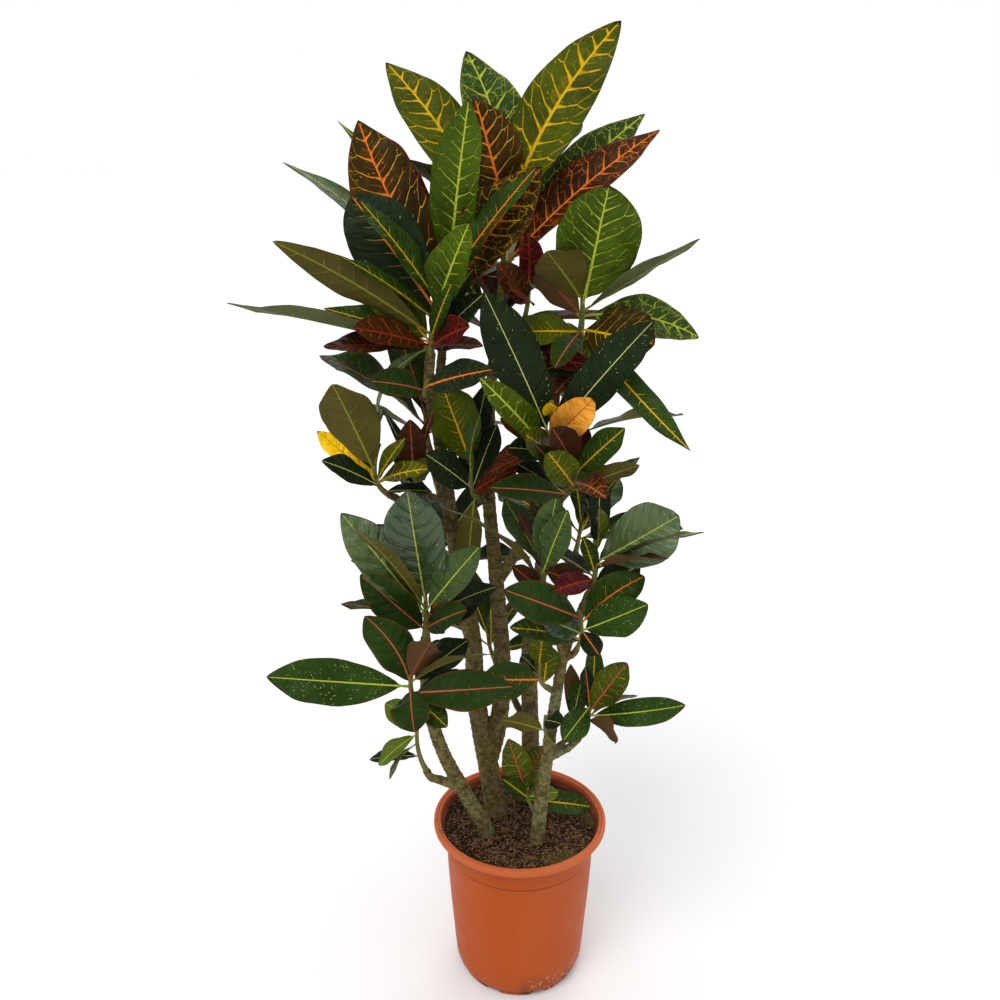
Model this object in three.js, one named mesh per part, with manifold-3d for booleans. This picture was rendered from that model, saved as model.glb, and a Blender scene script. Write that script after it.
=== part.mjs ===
// Potted croton: four woody stems with leafy shoots, standing in soil in a plastic nursery pot.
//
// Millimetres, +Z up. The origin is the centre of the pot's underside, on the surface it stands on.
// -Y is the front of the plant. Every leaf grows from the axis of its shoot, so its root is sunk
// well into the shoot, and all the leaves of one shoot are one solid with it.

import * as THREE from 'three';
import { mergeVertices } from 'three/addons/utils/BufferGeometryUtils.js';
import Module from 'manifold-3d';

const wasm = await Module();
wasm.setup();

// ---------------------------------------------------------------- driving dimensions

const GAP = 0.3; // clearance between neighbouring pieces

const POT = {
  height: 240,
  rimRadius: 120,
  lipHeight: 9,
  wall: 1.6,
  shoulderRadius: 104.5, // body just under the rolled rim
  stepHeight: 197, // shallow ring step below the rim
  step: 1,
  footRadius: 79.5,
  footHeight: 9,
  footWall: 2.5,
  padRadius: 58, // flat middle of the floor, which touches the surface
  channelHeight: 6, // raised drainage channel round the pad
  sides: 24,
  feetCount: 8,
  notchWidth: 20,
  notchHeight: 4,
  firstNotch: -72, // degrees from +X, the notch that shows at the front
  drainRadius: 4,
  drainCircle: 69,
};

const SOIL = {
  topMiddle: 229,
  topEdge: 226,
  edgeRadius: 107,
};

const STEM_BOTTOM = 165; // the stems' buried ends, inside the root ball
const STEM_BAR = { sides: 6, spacing: 50 };

const TWIG = { radius: 3.4, tipRadius: 2.3, sides: 4, spacing: 28 }; // green, leafy end of a branch

const LEAF = {
  stalkShare: 0.08, // of the leaf's length
  midribThickness: 1.5,
  edgeThickness: 0.8,
  fold: 12, // degrees that each half of the blade is raised from flat
  fullness: 0.85, // exponents of the blade's outline, towards the stalk and towards the tip
  taper: 0.62,
  waveShare: 0.045, // height of the edge's wave, of the leaf's width
  waves: 1.6, // waves along one edge
  stations: [0, 0.24, 0.5, 0.78, 1], // shares of the length where the strip has a section
  fewStations: [0, 0.32, 0.7, 1], // of a leaf that isn't longer than fineFrom
  fineFrom: 135,
};

const RULE = { steepest: 62, flattest: 2 }; // degrees above level, first and last leaf of a shoot
const ROOT_BEHIND = 1; // a leaf starts this far behind its shoot's axis, inside the shoot
const ROOT_OFFSET = 5; // the lowest leaf's root, above the branch's end
const ROOT_HIGHEST = 0.95; // share of the shoot's length where the highest leaf grows
const GOLDEN_SECTION = 0.618034;
const PHASE_STEP = 2.4; // each leaf's wave starts this much further on
const CLEARANCE = 1; // added to a leaf's size in the test of what it would touch
const OUTER_PART = 0.12; // leaves of one shoot may meet only nearer to their roots than this share

// Direction from the plant towards someone who looks at it from the front, a little from above.
const VIEWER = new THREE.Vector3(0, -0.96, 0.28).normalize();

// ---------------------------------------------------------------- what grows where

// Each stem is a trunk and the branches fused into it: [radius at start, radius at end, points].
const STEMS = {
  stem_left: {
    color: 0x6d6a48,
    limbs: {
      left_main: [10.5, 6, [[-38, -20, STEM_BOTTOM], [-45, -25, 228], [-74, -40, 304],
        [-100, -55, 372], [-115, -65, 434], [-120, -72, 481], [-121, -72, 522], [-119, -70, 552]]],
      left_front: [6, 4.6, [[-117, -66, 439], [-124, -84, 461], [-132, -100, 482]]],
      left_stub: [6.5, 4.5, [[-75, -41, 306], [-96, -50, 327], [-119, -58, 342], [-124, -61, 354]]],
    },
  },
  stem_centre: {
    color: 0x5f563c,
    limbs: {
      left_arm: [15, 5.5, [[-30, 26, STEM_BOTTOM], [-33, 21, 228], [-44, 30, 300], [-53, 27, 357],
        [-61, 24, 419], [-64, 20, 502], [-77, 12, 588], [-88, 5, 665], [-95, 0, 735],
        [-104, -5, 801], [-112, -10, 856], [-109, -16, 895]]],
      right_arm: [12, 5, [[-43, 30, 311], [-31, 31, 362], [-24, 31, 434], [-27, 29, 516],
        [-35, 26, 618], [-42, 20, 709], [-40, 18, 819], [-34, 20, 899], [-29, 21, 943]]],
      mid_arm: [6, 4.6, [[-103, -5, 796], [-101, 8, 850], [-96, 18, 899], [-92, 21, 923]]],
      centre_fork: [7.5, 4.6, [[-32, 27, 583], [-13, 15, 619], [8, 0, 672], [20, -16, 726],
        [29, -34, 774]]],
      low_fork: [5, 4, [[10, -2, 678], [31, -22, 703], [50, -38, 724]]],
      left_low_twig: [4.2, 3.6, [[-108, -6, 833], [-114, -20, 839], [-116, -32, 848]]],
      left_inner_twig: [4.4, 3.6, [[-93, 1, 706], [-113, -18, 718], [-127, -30, 732]]],
      left_twig: [5.5, 4.2, [[-87, 6, 660], [-115, -12, 689], [-144, -32, 714], [-163, -42, 729]]],
      mid_twig: [4.6, 3.8, [[-42, 20, 694], [-50, 4, 704], [-57, -11, 713]]],
      red_twig: [4.6, 3.8, [[-38, 19, 854], [-19, 8, 887], [-4, -4, 920]]],
      back_high_twig: [5, 4, [[-39, 18, 819], [-38, 45, 858], [-34, 68, 891]]],
      back_left_twig: [5.5, 4.2, [[-63, 21, 491], [-85, 45, 531], [-104, 70, 567]]],
      back_mid_twig: [5, 4, [[-90, 4, 680], [-108, 36, 718], [-119, 62, 759]]],
    },
  },
  stem_back: {
    color: 0x5a5139,
    limbs: {
      back_main: [13, 5, [[10, 58, STEM_BOTTOM], [11, 56, 228], [16, 64, 309], [14, 60, 392],
        [13, 58, 474], [23, 55, 556], [35, 46, 657], [46, 32, 769], [60, 14, 859], [67, 3, 911]]],
      right_front_twig: [4.2, 3.4, [[61, 13, 858], [70, 2, 868], [74, -8, 877]]],
      back_right: [7, 4.4, [[14, 60, 407], [41, 76, 478], [65, 90, 549], [77, 97, 599]]],
      back_right_twig: [5.5, 4.2, [[34, 47, 647], [60, 66, 707], [78, 80, 761]]],
      back_low_twig: [5, 4, [[14, 62, 340], [-13, 88, 385], [-35, 104, 426]]],
    },
  },
  stem_right: {
    color: 0x77754c,
    limbs: {
      right_main: [10, 5, [[19, -38, STEM_BOTTOM], [23, -41, 228], [29, -40, 304], [37, -45, 387],
        [45, -48, 459], [54, -50, 520], [69, -53, 567], [83, -56, 607]]],
      small_twig: [4.2, 3.4, [[53, -50, 510], [65, -60, 524], [69, -67, 537]]],
      side_twig: [4.6, 3.6, [[45, -48, 457], [41, -57, 468], [30, -64, 479]]],
      low_twig: [5, 3.8, [[36, -43, 360], [66, -44, 380], [78, -45, 397], [83, -45, 410]]],
      low_back_twig: [4.2, 3.4, [[36, -42, 366], [59, -33, 382], [65, -28, 394]]],
      inner_twig: [4.8, 3.6, [[53, -50, 510], [44, -57, 549], [33, -61, 582], [28, -62, 603]]],
      bud_twig: [3.6, 3, [[38, -46, 389], [42, -55, 393], [37, -60, 399]]],
      basal_twig: [4, 3.2, [[27, -41, 272], [20, -37, 274], [15, -33, 279]]],
    },
  },
};

// Each shoot continues a branch. Its leaves are, from the front, where the plant shows them:
// [place along the shoot 0-1, tip x, y, z, width, bow in degrees, turn of the upper face in degrees,
// and, where the midrib curves to one side, how far].
// Turn 0 shows the upper face to the front, 90 shows the edge and 180 shows the underside.
// fill adds leaves by rule: [how many, length, middle of their side in degrees, spread in degrees],
// where 0 is right, 90 is the back and -90 is the front.
const SHOOTS = {
  crown_left: {
    limb: 'left_arm',
    tip: [-98, -20, 965],
    color: 0x3d5a1c,
    fill: [1, 140, 120, 150],
    leaves: [
      [0.02, -319, -110, 966, 41, 3, 106],
      [0.25, -269, -90, 1028, 42, 8, 150, -5],
      [0.75, -196, 0, 1071, 82, 15, 8],
      [0.90, -176, -40, 1073, 43, 12, 50],
      [0.55, -201, -60, 1016, 33, 15, 55],
      [0.10, -231, -20, 947, 36, 14, 30],
      [0.05, -187, -90, 936, 43, 10, 40],
      [0.00, -223, -70, 906, 41, 10, 50],
      [0.00, -60, -100, 939, 41, 18, 40],
      [0.60, -60, -70, 1046, 55, 12, 20],
      [0.90, 13, -45, 1103, 43, 14, 40],
      [0.00, -178, 10, 810, 28, 70, 60],
      [0.10, -189, -5, 993, 58, 16, 15],
      [0.20, -80, -70, 982, 24, 14, 20],
      [0.30, -57, -15, 992, 32, 16, 30],
      [0.00, -46, -90, 916, 30, 14, 45],
      [0.05, -42, -60, 962, 36, 14, 20],
    ],
  },
  crown_mid: {
    limb: 'mid_arm',
    tip: [-88, 22, 989],
    color: 0x4d3a16,
    fill: [2, 150, 110, 140],
    leaves: [
      [0.35, -191, 50, 1152, 89, 14, 8, -9],
      [0.85, -60, -50, 1171, 64, 10, 15],
      [0.55, 18, -40, 1102, 78, 16, 15],
      [0.05, -294, 110, 1106, 45, 34, 60],
      [0.65, -191, 95, 1149, 60, 14, 10],
    ],
  },
  crown_top: {
    limb: 'right_arm',
    tip: [-20, 18, 1067],
    color: 0x596312,
    fill: [5, 160, 90, 200],
    leaves: [
      [0.60, -158, 60, 1214, 72, 16, 5, 10],
      [0.70, -68, 75, 1221, 76, 12, 5, 16],
      [0.90, -55, -5, 1173, 68, 10, 10],
      [0.80, 104, 15, 1252, 74, 12, 5, -15],
      [0.50, 144, 85, 1160, 56, 14, 10, -5],
      [0.35, 153, 20, 1141, 62, 16, 30, -5],
    ],
  },
  crown_right: {
    limb: 'back_main',
    tip: [66, 0, 982],
    color: 0x48681c,
    fill: [3, 140, 100, 110],
    leaves: [
      [0.50, 91, -40, 1083, 103, 12, 0],
      [0.40, 189, -70, 1029, 41, 4, 102],
      [0.30, 204, -20, 913, 53, 30, 25, -9],
      [0.05, 185, -110, 802, 36, 18, 20, 8],
      [0.60, 23, -70, 1016, 60, 14, 150],
      [0.05, 145, -70, 914, 76, 14, 10],
      [0.00, 33, -80, 889, 33, 25, 25],
      [0.00, -19, -50, 924, 46, 12, 20],
      [0.30, 4, -20, 993, 40, 12, 160],
    ],
  },
  centre_red: {
    limb: 'red_twig',
    tip: [3, -15, 993],
    color: 0x4a1414,
    fill: [0, 90, 90, 200],
    leaves: [
      [0.80, 4, -35, 1029, 35, 14, 20],
      [0.40, -31, -60, 1001, 39, 14, 20],
      [0.50, -21, -100, 984, 39, 14, 45],
      [0.10, 38, -100, 930, 43, 25, 35],
      [0.00, 90, -50, 932, 29, 12, 20, 14],
      [0.00, 26, -50, 900, 27, 20, 25],
    ],
  },
  centre_high: {
    limb: 'centre_fork',
    tip: [32, -50, 846],
    color: 0x2b4a1e,
    fill: [0, 90, 90, 200],
    leaves: [
      [0.30, -60, -60, 967, 64, 14, 12],
      [0.30, 141, -85, 944, 57, 14, 25],
      [0.00, -51, -130, 891, 40, 14, 25],
      [0.80, 33, -80, 851, 20, 12, 10],
      [0.10, -40, -70, 764, 39, 22, 50],
      [0.00, -1, -130, 827, 37, 14, 20],
      [0.50, 20, -30, 903, 32, 14, 170],
      [0.10, -28, -60, 827, 25, 18, 20],
      [0.00, -31, -75, 791, 35, 18, 15],
    ],
  },
  centre_low: {
    limb: 'low_fork',
    tip: [58, -52, 788],
    color: 0x3a3c1a,
    fill: [0, 90, 60, 180],
    leaves: [
      [0.60, 112, -100, 826, 37, 16, 22],
      [0.10, 132, -90, 780, 32, 14, 150],
      [0.70, 29, -125, 833, 44, 12, 15],
      [0.00, -40, -100, 756, 37, 20, 20],
      [0.40, 93, -110, 746, 34, 30, 40],
      [0.20, -2, -100, 816, 29, 14, 10],
      [0.30, 11, -120, 816, 40, 14, 5],
      [0.60, 71, -40, 815, 31, 14, 15],
      [0.00, -14, -60, 779, 30, 16, 20],
    ],
  },
  mid_left: {
    limb: 'left_twig',
    tip: [-169, -50, 794],
    color: 0x44451f,
    fill: [1, 85, 90, 220],
    leaves: [
      [0.60, -212, -100, 876, 64, 14, 172],
      [0.20, -227, -110, 791, 33, 16, 50],
      [0.90, -163, -45, 838, 24, 30, 60],
      [0.30, -109, -90, 775, 32, 25, 50],
      [0.00, -107, -70, 741, 26, 14, 60],
      [0.30, -136, -70, 807, 22, 20, 40],
    ],
  },
  mid: {
    limb: 'mid_twig',
    tip: [-60, -22, 769],
    color: 0x2c4526,
    fill: [1, 80, 60, 160],
    leaves: [
      [0.40, -114, -75, 789, 41, 16, 25],
      [0.80, -50, -40, 827, 29, 30, 60],
      [0.90, -98, 0, 851, 66, 14, 8],
      [0.20, -6, -70, 769, 39, 25, 40],
      [0.30, -31, -5, 806, 36, 16, 15],
      [0.90, -43, 10, 854, 34, 16, 20],
      [0.00, -68, -35, 620, 36, 14, 160],
    ],
  },
  left_upper: {
    limb: 'left_main',
    tip: [-119, -75, 622],
    color: 0x2f5a2c,
    fill: [2, 110, 110, 180],
    leaves: [
      [0.65, -134, -95, 751, 79, 14, 2],
      [0.40, -213, -85, 720, 61, 14, 12],
      [0.50, -188, -165, 734, 35, 18, 135],
      [0.50, -50, -115, 691, 42, 18, 15],
      [0.05, -184, -100, 657, 51, 18, 12],
      [0.20, -224, -60, 592, 34, 25, 65],
      [0.10, -65, -140, 622, 38, 18, 40],
      [0.30, -31, -80, 624, 40, 25, 50],
      [0.00, -53, -40, 592, 35, 20, 30],
      [0.10, -64, -100, 647, 22, 14, 20],
    ],
  },
  left_front: {
    limb: 'left_front',
    tip: [-128, -110, 548],
    color: 0x2a5a1e,
    fill: [1, 90, 100, 160],
    leaves: [
      [0.40, -299, -150, 541, 60, 12, 10, 0],
      [0.40, -185, -125, 607, 49, 14, 10, 9],
      [0.50, -36, -185, 589, 32, 25, 115],
      [0.60, -90, -165, 588, 44, 12, 160],
      [0.20, -11, -165, 537, 52, 16, 12],
      [0.30, -125, -190, 492, 46, 25, 0],
      [0.70, -100, -90, 558, 34, 14, 60],
      [0.00, -90, -150, 474, 31, 28, 30],
      [0.50, -67, -60, 543, 40, 14, 20],
      [0.10, -64, -90, 514, 26, 14, 30],
    ],
  },
  left_stub: {
    limb: 'left_stub',
    tip: [-132, -72, 433],
    color: 0x6a8040,
    fill: [0, 60, 90, 180],
    leaves: [
      [0.80, -181, -95, 384, 26, 35, 40],
      [0.60, -166, -110, 374, 22, 45, 80],
      [1.00, -170, -90, 471, 34, 20, 20],
      [0.30, -191, -90, 389, 26, 20, 60],
    ],
  },
  right_middle: {
    limb: 'right_main',
    tip: [86, -60, 676],
    color: 0x35552a,
    fill: [3, 100, 70, 180],
    leaves: [
      [0.60, 182, -80, 715, 73, 14, 0],
      [0.50, 215, -135, 721, 34, 18, 98],
      [0.45, 169, -150, 688, 36, 18, 112],
      [0.20, 34, -120, 636, 32, 20, 40],
      [0.80, 88, -75, 724, 34, 14, 60],
      [0.90, 78, -20, 716, 36, 14, 50],
      [0.00, 145, -40, 634, 42, 18, 20],
      [0.30, 71, -70, 684, 22, 14, 20],
      [0.00, 27, -90, 648, 36, 14, 30],
    ],
  },
  right_inner: {
    limb: 'inner_twig',
    tip: [27, -68, 672],
    color: 0x36502f,
    fill: [1, 90, 90, 180],
    leaves: [
      [0.60, 38, -85, 740, 43, 14, 10],
      [0.40, 68, -100, 726, 38, 14, 20],
      [0.20, -95, -110, 736, 34, 35, 105],
      [0.00, -13, -85, 653, 26, 14, 20],
      [0.50, -6, -50, 708, 36, 14, 60],
      [0.60, -20, -20, 721, 39, 16, 15],
    ],
  },
  right_small: {
    limb: 'small_twig',
    tip: [69, -75, 591],
    color: 0x27511f,
    fill: [0, 60, 60, 120],
    leaves: [
      [0.50, 91, -110, 548, 26, 20, 10],
      [0.40, 21, -110, 598, 35, 22, 15],
      [0.20, -18, -125, 602, 38, 20, 45],
      [0.70, 144, -90, 642, 50, 16, 12, -6],
      [0.50, 144, -125, 622, 49, 18, 8],
      [0.85, -38, -130, 645, 50, 16, 15],
    ],
  },
  right_side: {
    limb: 'side_twig',
    tip: [25, -70, 528],
    color: 0x3a5c22,
    fill: [0, 70, 120, 120],
    leaves: [
      [0.30, -51, -115, 519, 48, 18, 5],
      [0.80, 24, -95, 564, 34, 12, 20],
      [0.50, -1, -60, 521, 30, 20, 60],
      [0.00, 19, -60, 534, 34, 12, 10],
    ],
  },
  right_low: {
    limb: 'low_twig',
    tip: [89, -44, 444],
    color: 0x345c1c,
    fill: [2, 90, 60, 180],
    leaves: [
      [0.60, 131, -70, 516, 42, 14, 20],
      [0.40, 204, -85, 465, 39, 18, 15, 2],
      [0.20, 119, -105, 428, 34, 16, 150],
      [0.60, 82, -30, 489, 26, 14, 30],
      [0.90, 51, -100, 423, 36, 14, 20],
    ],
  },
  right_bud: {
    limb: 'bud_twig',
    tip: [31, -64, 438],
    color: 0x5a4220,
    fill: [0, 60, 90, 180],
    leaves: [
      [0.50, -24, -90, 447, 34, 16, 155],
      [0.90, 49, -90, 441, 28, 20, 60],
    ],
  },
  basal: {
    limb: 'basal_twig',
    tip: [8, -28, 304],
    color: 0x4f6a1c,
    fill: [1, 60, 60, 60],
    leaves: [
      [0.70, -17, -40, 388, 44, 12, 10],
      [0.90, 30, -15, 361, 36, 12, 30],
      [0.40, 53, -10, 284, 22, 25, 30],
      [0.20, 111, 5, 252, 34, 20, 30],
      [0.40, -28, -50, 336, 24, 16, 20],
    ],
  },
  back_high: {
    limb: 'back_high_twig',
    tip: [-29, 86, 930],
    color: 0x4a3c1c,
    fill: [6, 160, 90, 300],
    leaves: [
      [0.30, -226, 120, 1154, 49, 30, 30],
    ],
  },
  back_left: {
    limb: 'back_left_twig',
    tip: [-116, 88, 605],
    color: 0x2c5226,
    fill: [6, 140, 110, 280],
    leaves: [],
  },
  back_mid: {
    limb: 'back_mid_twig',
    tip: [-125, 80, 798],
    color: 0x3f4a1e,
    fill: [6, 140, 100, 280],
    leaves: [],
  },
  back_right: {
    limb: 'back_right',
    tip: [83, 102, 639],
    color: 0x35552a,
    fill: [6, 140, 75, 280],
    leaves: [],
  },
  back_right_high: {
    limb: 'back_right_twig',
    tip: [88, 90, 800],
    color: 0x3d5a1c,
    fill: [5, 125, 90, 170],
    leaves: [],
  },
  back_low: {
    limb: 'back_low_twig',
    tip: [-45, 112, 463],
    color: 0x2f5a2c,
    fill: [5, 120, 100, 280],
    leaves: [],
  },
  left_low: {
    limb: 'left_low_twig',
    tip: [-110, -42, 870],
    color: 0x2c4526,
    fill: [0, 70, 110, 60],
    leaves: [
      [0.50, -35, -105, 893, 39, 24, 18],
      [0.20, -172, -95, 878, 38, 28, 22],
    ],
  },
  left_inner: {
    limb: 'left_inner_twig',
    tip: [-125, -38, 758],
    color: 0x44351f,
    fill: [0, 60, 100, 60],
    leaves: [
      [0.40, -133, -45, 822, 39, 14, 0],
      [0.20, -156, -90, 767, 21, 24, 40],
      [0.60, -104, -70, 773, 26, 20, 20],
      [0.70, -171, -10, 831, 18, 10, 60],
      [0.90, -105, -30, 833, 14, 14, 40],
      [0.00, -142, -60, 791, 30, 14, 10],
    ],
  },
  crown_right_low: {
    limb: 'right_front_twig',
    tip: [75, -18, 896],
    color: 0x33401c,
    fill: [0, 60, 90, 60],
    leaves: [
      [0.40, 31, -45, 887, 39, 24, 15],
      [0.00, 27, -60, 858, 23, 24, 40],
    ],
  },
  right_back: {
    limb: 'low_back_twig',
    tip: [70, -22, 426],
    color: 0x3a3a1c,
    fill: [1, 60, 90, 60],
    leaves: [
      [0.40, 80, -14, 461, 29, 14, 20],
      [0.20, 66, 0, 477, 24, 14, 160],
    ],
  },
};

// Two dying leaves have a colour of their own, and are pieces of their own on their shoots.
const ODD_LEAVES = {
  leaf_yellow: { shoot: 'mid_left', color: 0xe8b31a, row: [0.00, -247, -20, 801, 33, 16, 30] },
  leaf_orange: { shoot: 'centre_high', color: 0xd08a35, row: [0.22, 77, -90, 857, 45, 18, 10] },
};

// A leaf that would cross another piece is swung about its root until it is clear:
// [sideways, upwards, share of its length], tried in this order.
const SWINGS = [[0, 0, 1]];
const SWING_STEPS = [5, 10, 15, 21, 28];
const SWING_SIDES = [[1, 0], [-1, 0], [0, 1], [0, -1], [0.7, 0.7], [-0.7, 0.7], [0.7, -0.7],
  [-0.7, -0.7]];
const SHORTER = [1, 0.85, 0.7];
for (const length of SHORTER) {
  for (const angle of SWING_STEPS) {
    for (const [sideways, upwards] of SWING_SIDES) {
      SWINGS.push([sideways * angle, upwards * angle, length]);
    }
  }
}

// ---------------------------------------------------------------- helpers

const vector = ([x, y, z]) => new THREE.Vector3(x, y, z);
const radians = THREE.MathUtils.degToRad;

// A seeded random number from 0 to 1.
let seed = 20241;
function random() {
  seed = (seed * 1664525 + 1013904223) % 4294967296;
  return seed / 4294967296;
}

// A closed geometry as a manifold solid.
function solid(geometry) {
  const bare = geometry.clone();
  bare.deleteAttribute('normal');
  bare.deleteAttribute('uv');
  const merged = mergeVertices(bare, 1e-3);
  const corners = merged.index.array;
  const kept = [];
  for (let i = 0; i < corners.length; i += 3) {
    const [a, b, c] = corners.slice(i, i + 3);
    if (a !== b && b !== c && c !== a) {
      kept.push(a, b, c);
    }
  }
  return new wasm.Manifold(new wasm.Mesh({
    numProp: 3,
    vertProperties: merged.attributes.position.array,
    triVerts: new Uint32Array(kept),
  }));
}

function geometryOf(manifold) {
  const mesh = manifold.getMesh();
  const geometry = new THREE.BufferGeometry();
  geometry.setAttribute('position', new THREE.BufferAttribute(mesh.vertProperties, 3));
  geometry.setIndex(new THREE.BufferAttribute(mesh.triVerts, 1));
  geometry.computeVertexNormals();
  return geometry;
}

// A round bar along a path that thins from one radius to the other.
function bar(path, startRadius, endRadius, sides, spacing) {
  const steps = Math.max(2, Math.round(path.getLength() / spacing));
  const section = new THREE.Shape();
  for (let i = 0; i < sides; i += 1) {
    const angle = (i / sides) * 2 * Math.PI;
    const corner = [startRadius * Math.cos(angle), startRadius * Math.sin(angle)];
    if (i === 0) {
      section.moveTo(...corner);
    } else {
      section.lineTo(...corner);
    }
  }
  section.closePath();
  const geometry = new THREE.ExtrudeGeometry(section, { steps, extrudePath: path });
  const centres = path.getSpacedPoints(steps);
  const position = geometry.attributes.position;
  const point = new THREE.Vector3();
  for (let i = 0; i < position.count; i += 1) {
    point.fromBufferAttribute(position, i);
    let nearest = 0;
    for (let k = 1; k <= steps; k += 1) {
      if (point.distanceToSquared(centres[k]) < point.distanceToSquared(centres[nearest])) {
        nearest = k;
      }
    }
    const share = nearest / steps;
    const scale = THREE.MathUtils.lerp(startRadius, endRadius, share) / startRadius;
    point.sub(centres[nearest]).multiplyScalar(scale).add(centres[nearest]);
    position.setXYZ(i, point.x, point.y, point.z);
  }
  return solid(geometry);
}

function mesh(name, manifold, color, roughness) {
  const material = new THREE.MeshStandardMaterial({ color, roughness, metalness: 0 });
  const piece = new THREE.Mesh(geometryOf(manifold), material);
  piece.name = name;
  return piece;
}

// ---------------------------------------------------------------- pot

function lathe(profile) {
  const points = profile.map(([r, z]) => new THREE.Vector2(r, z));
  const geometry = new THREE.LatheGeometry(points, POT.sides);
  geometry.rotateX(Math.PI / 2);
  return solid(geometry);
}

// Outside of the pot from the foot to the rim, and the same wall's inside at a distance.
const WALL_OUTSIDE = [
  [87.5, 11], [90.5, 20], [94, 62], [99, 127],
  [POT.shoulderRadius - POT.step - 1, POT.stepHeight], [POT.shoulderRadius - 1, POT.stepHeight + 1],
  [POT.shoulderRadius, 218], [111, 229],
];

function potSolid() {
  const top = POT.height;
  const rim = POT.rimRadius;
  const outside = [
    [0, 0], [POT.padRadius, 0], [POT.padRadius + 3, POT.channelHeight],
    [POT.footRadius - POT.footWall, POT.channelHeight], [POT.footRadius - POT.footWall, 0],
    [POT.footRadius, 0], [POT.footRadius, POT.footHeight], ...WALL_OUTSIDE,
    [rim - 1.5, top - POT.lipHeight], [rim, top - POT.lipHeight + 1.5], [rim, top - 2],
    [rim - 2, top],
  ];
  const inside = [
    [rim - 8, top], [rim - 10, top - 2],
    ...WALL_OUTSIDE.map(([r, z]) => [r - POT.wall, z + 0.8]).reverse(),
    [76, POT.channelHeight + POT.wall], [POT.padRadius + 2, POT.channelHeight + POT.wall],
    [POT.padRadius - 1, POT.wall], [0, POT.wall],
  ];
  let pot = lathe([...outside, ...inside]);
  for (let i = 0; i < POT.feetCount; i += 1) {
    const notchAngle = radians(POT.firstNotch) + (i / POT.feetCount) * 2 * Math.PI;
    const notch = new THREE.BoxGeometry(12, POT.notchWidth, 2 * POT.notchHeight);
    notch.translate(POT.footRadius, 0, 0);
    notch.rotateZ(notchAngle);
    pot = pot.subtract(solid(notch));
    const drain = new THREE.CylinderGeometry(POT.drainRadius, POT.drainRadius, 30, 6);
    drain.rotateX(Math.PI / 2);
    drain.translate(POT.drainCircle, 0, 0);
    drain.rotateZ(notchAngle + Math.PI / POT.feetCount);
    pot = pot.subtract(solid(drain));
  }
  return pot;
}

// ---------------------------------------------------------------- stems

const limbs = {}; // every branch by name, with its end and the direction it ends in

function stemSolid(stem, swelling) {
  let whole = null;
  for (const [name, [startRadius, endRadius, rows]] of Object.entries(stem.limbs)) {
    const points = rows.map(vector);
    const path = new THREE.CatmullRomCurve3(points);
    const part = bar(path, startRadius + swelling, endRadius + swelling, STEM_BAR.sides, STEM_BAR.spacing);
    whole = whole ? whole.add(part) : part;
    const end = points.at(-1);
    limbs[name] = { end, direction: end.clone().sub(points.at(-2)).normalize() };
  }
  return whole;
}

// ---------------------------------------------------------------- soil

function soilSolid(stemsWithGap) {
  const inside = WALL_OUTSIDE
    .map(([r, z]) => [r - POT.wall - GAP, z + 0.8])
    .filter(([, z]) => z < SOIL.topEdge - 1);
  const profile = [
    [0, POT.wall + GAP], [POT.padRadius - 1.5, POT.wall + GAP],
    [POT.padRadius + 1.5, POT.channelHeight + POT.wall + GAP],
    [75.6, POT.channelHeight + POT.wall + GAP],
    ...inside,
    [SOIL.edgeRadius - 1.5, SOIL.topEdge], [SOIL.edgeRadius * 0.6, SOIL.topMiddle - 1],
    [0, SOIL.topMiddle],
  ];
  let soil = lathe(profile);
  for (const stem of stemsWithGap) {
    soil = soil.subtract(stem);
  }
  return soil;
}

// ---------------------------------------------------------------- leaves

// Half the blade's width, from 0 at its base (u = 0) to 0 at its tip (u = 1), 1 at its widest.
function outline(u, shape) {
  const widest = LEAF.fullness / (LEAF.fullness + shape);
  const most = widest ** LEAF.fullness * (1 - widest) ** shape;
  return (u ** LEAF.fullness * (1 - u) ** shape) / most;
}

// A leaf as a root, the chord to its tip, and the way its upper face looks.
function leafFacing(root, tip, turn) {
  const chord = tip.clone().sub(root);
  const along = chord.clone().normalize();
  root.addScaledVector(along, -ROOT_BEHIND);
  const face = VIEWER.clone().addScaledVector(along, -VIEWER.dot(along)).normalize();
  const inward = along.clone().cross(face);
  if (inward.z < 0) {
    inward.negate();
  }
  const up = face.multiplyScalar(Math.cos(radians(turn))).addScaledVector(inward, Math.sin(radians(turn)));
  return { root, length: chord.length() + ROOT_BEHIND, along, up };
}

// A leaf of the rule: its upper face looks up, rolled a little.
function leafUpwards(root, tip, roll) {
  const chord = tip.clone().sub(root);
  const along = chord.clone().normalize();
  root.addScaledVector(along, -ROOT_BEHIND);
  const up = new THREE.Vector3(0, 0, 1).addScaledVector(along, -along.z).normalize();
  const side = along.clone().cross(up);
  up.multiplyScalar(Math.cos(radians(roll))).addScaledVector(side, Math.sin(radians(roll)));
  return { root, length: chord.length() + ROOT_BEHIND, along, up };
}

function swung(leaf, [sideways, upwards, share]) {
  const side = leaf.along.clone().cross(leaf.up);
  const turned = leaf.along.clone().multiplyScalar(Math.cos(radians(sideways)))
    .addScaledVector(side, Math.sin(radians(sideways)));
  const along = turned.clone().multiplyScalar(Math.cos(radians(upwards)))
    .addScaledVector(leaf.up, Math.sin(radians(upwards)));
  const up = leaf.up.clone().multiplyScalar(Math.cos(radians(upwards)))
    .addScaledVector(turned, -Math.sin(radians(upwards)));
  return { ...leaf, along, up, length: leaf.length * share, width: leaf.width * Math.sqrt(share) };
}

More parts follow.
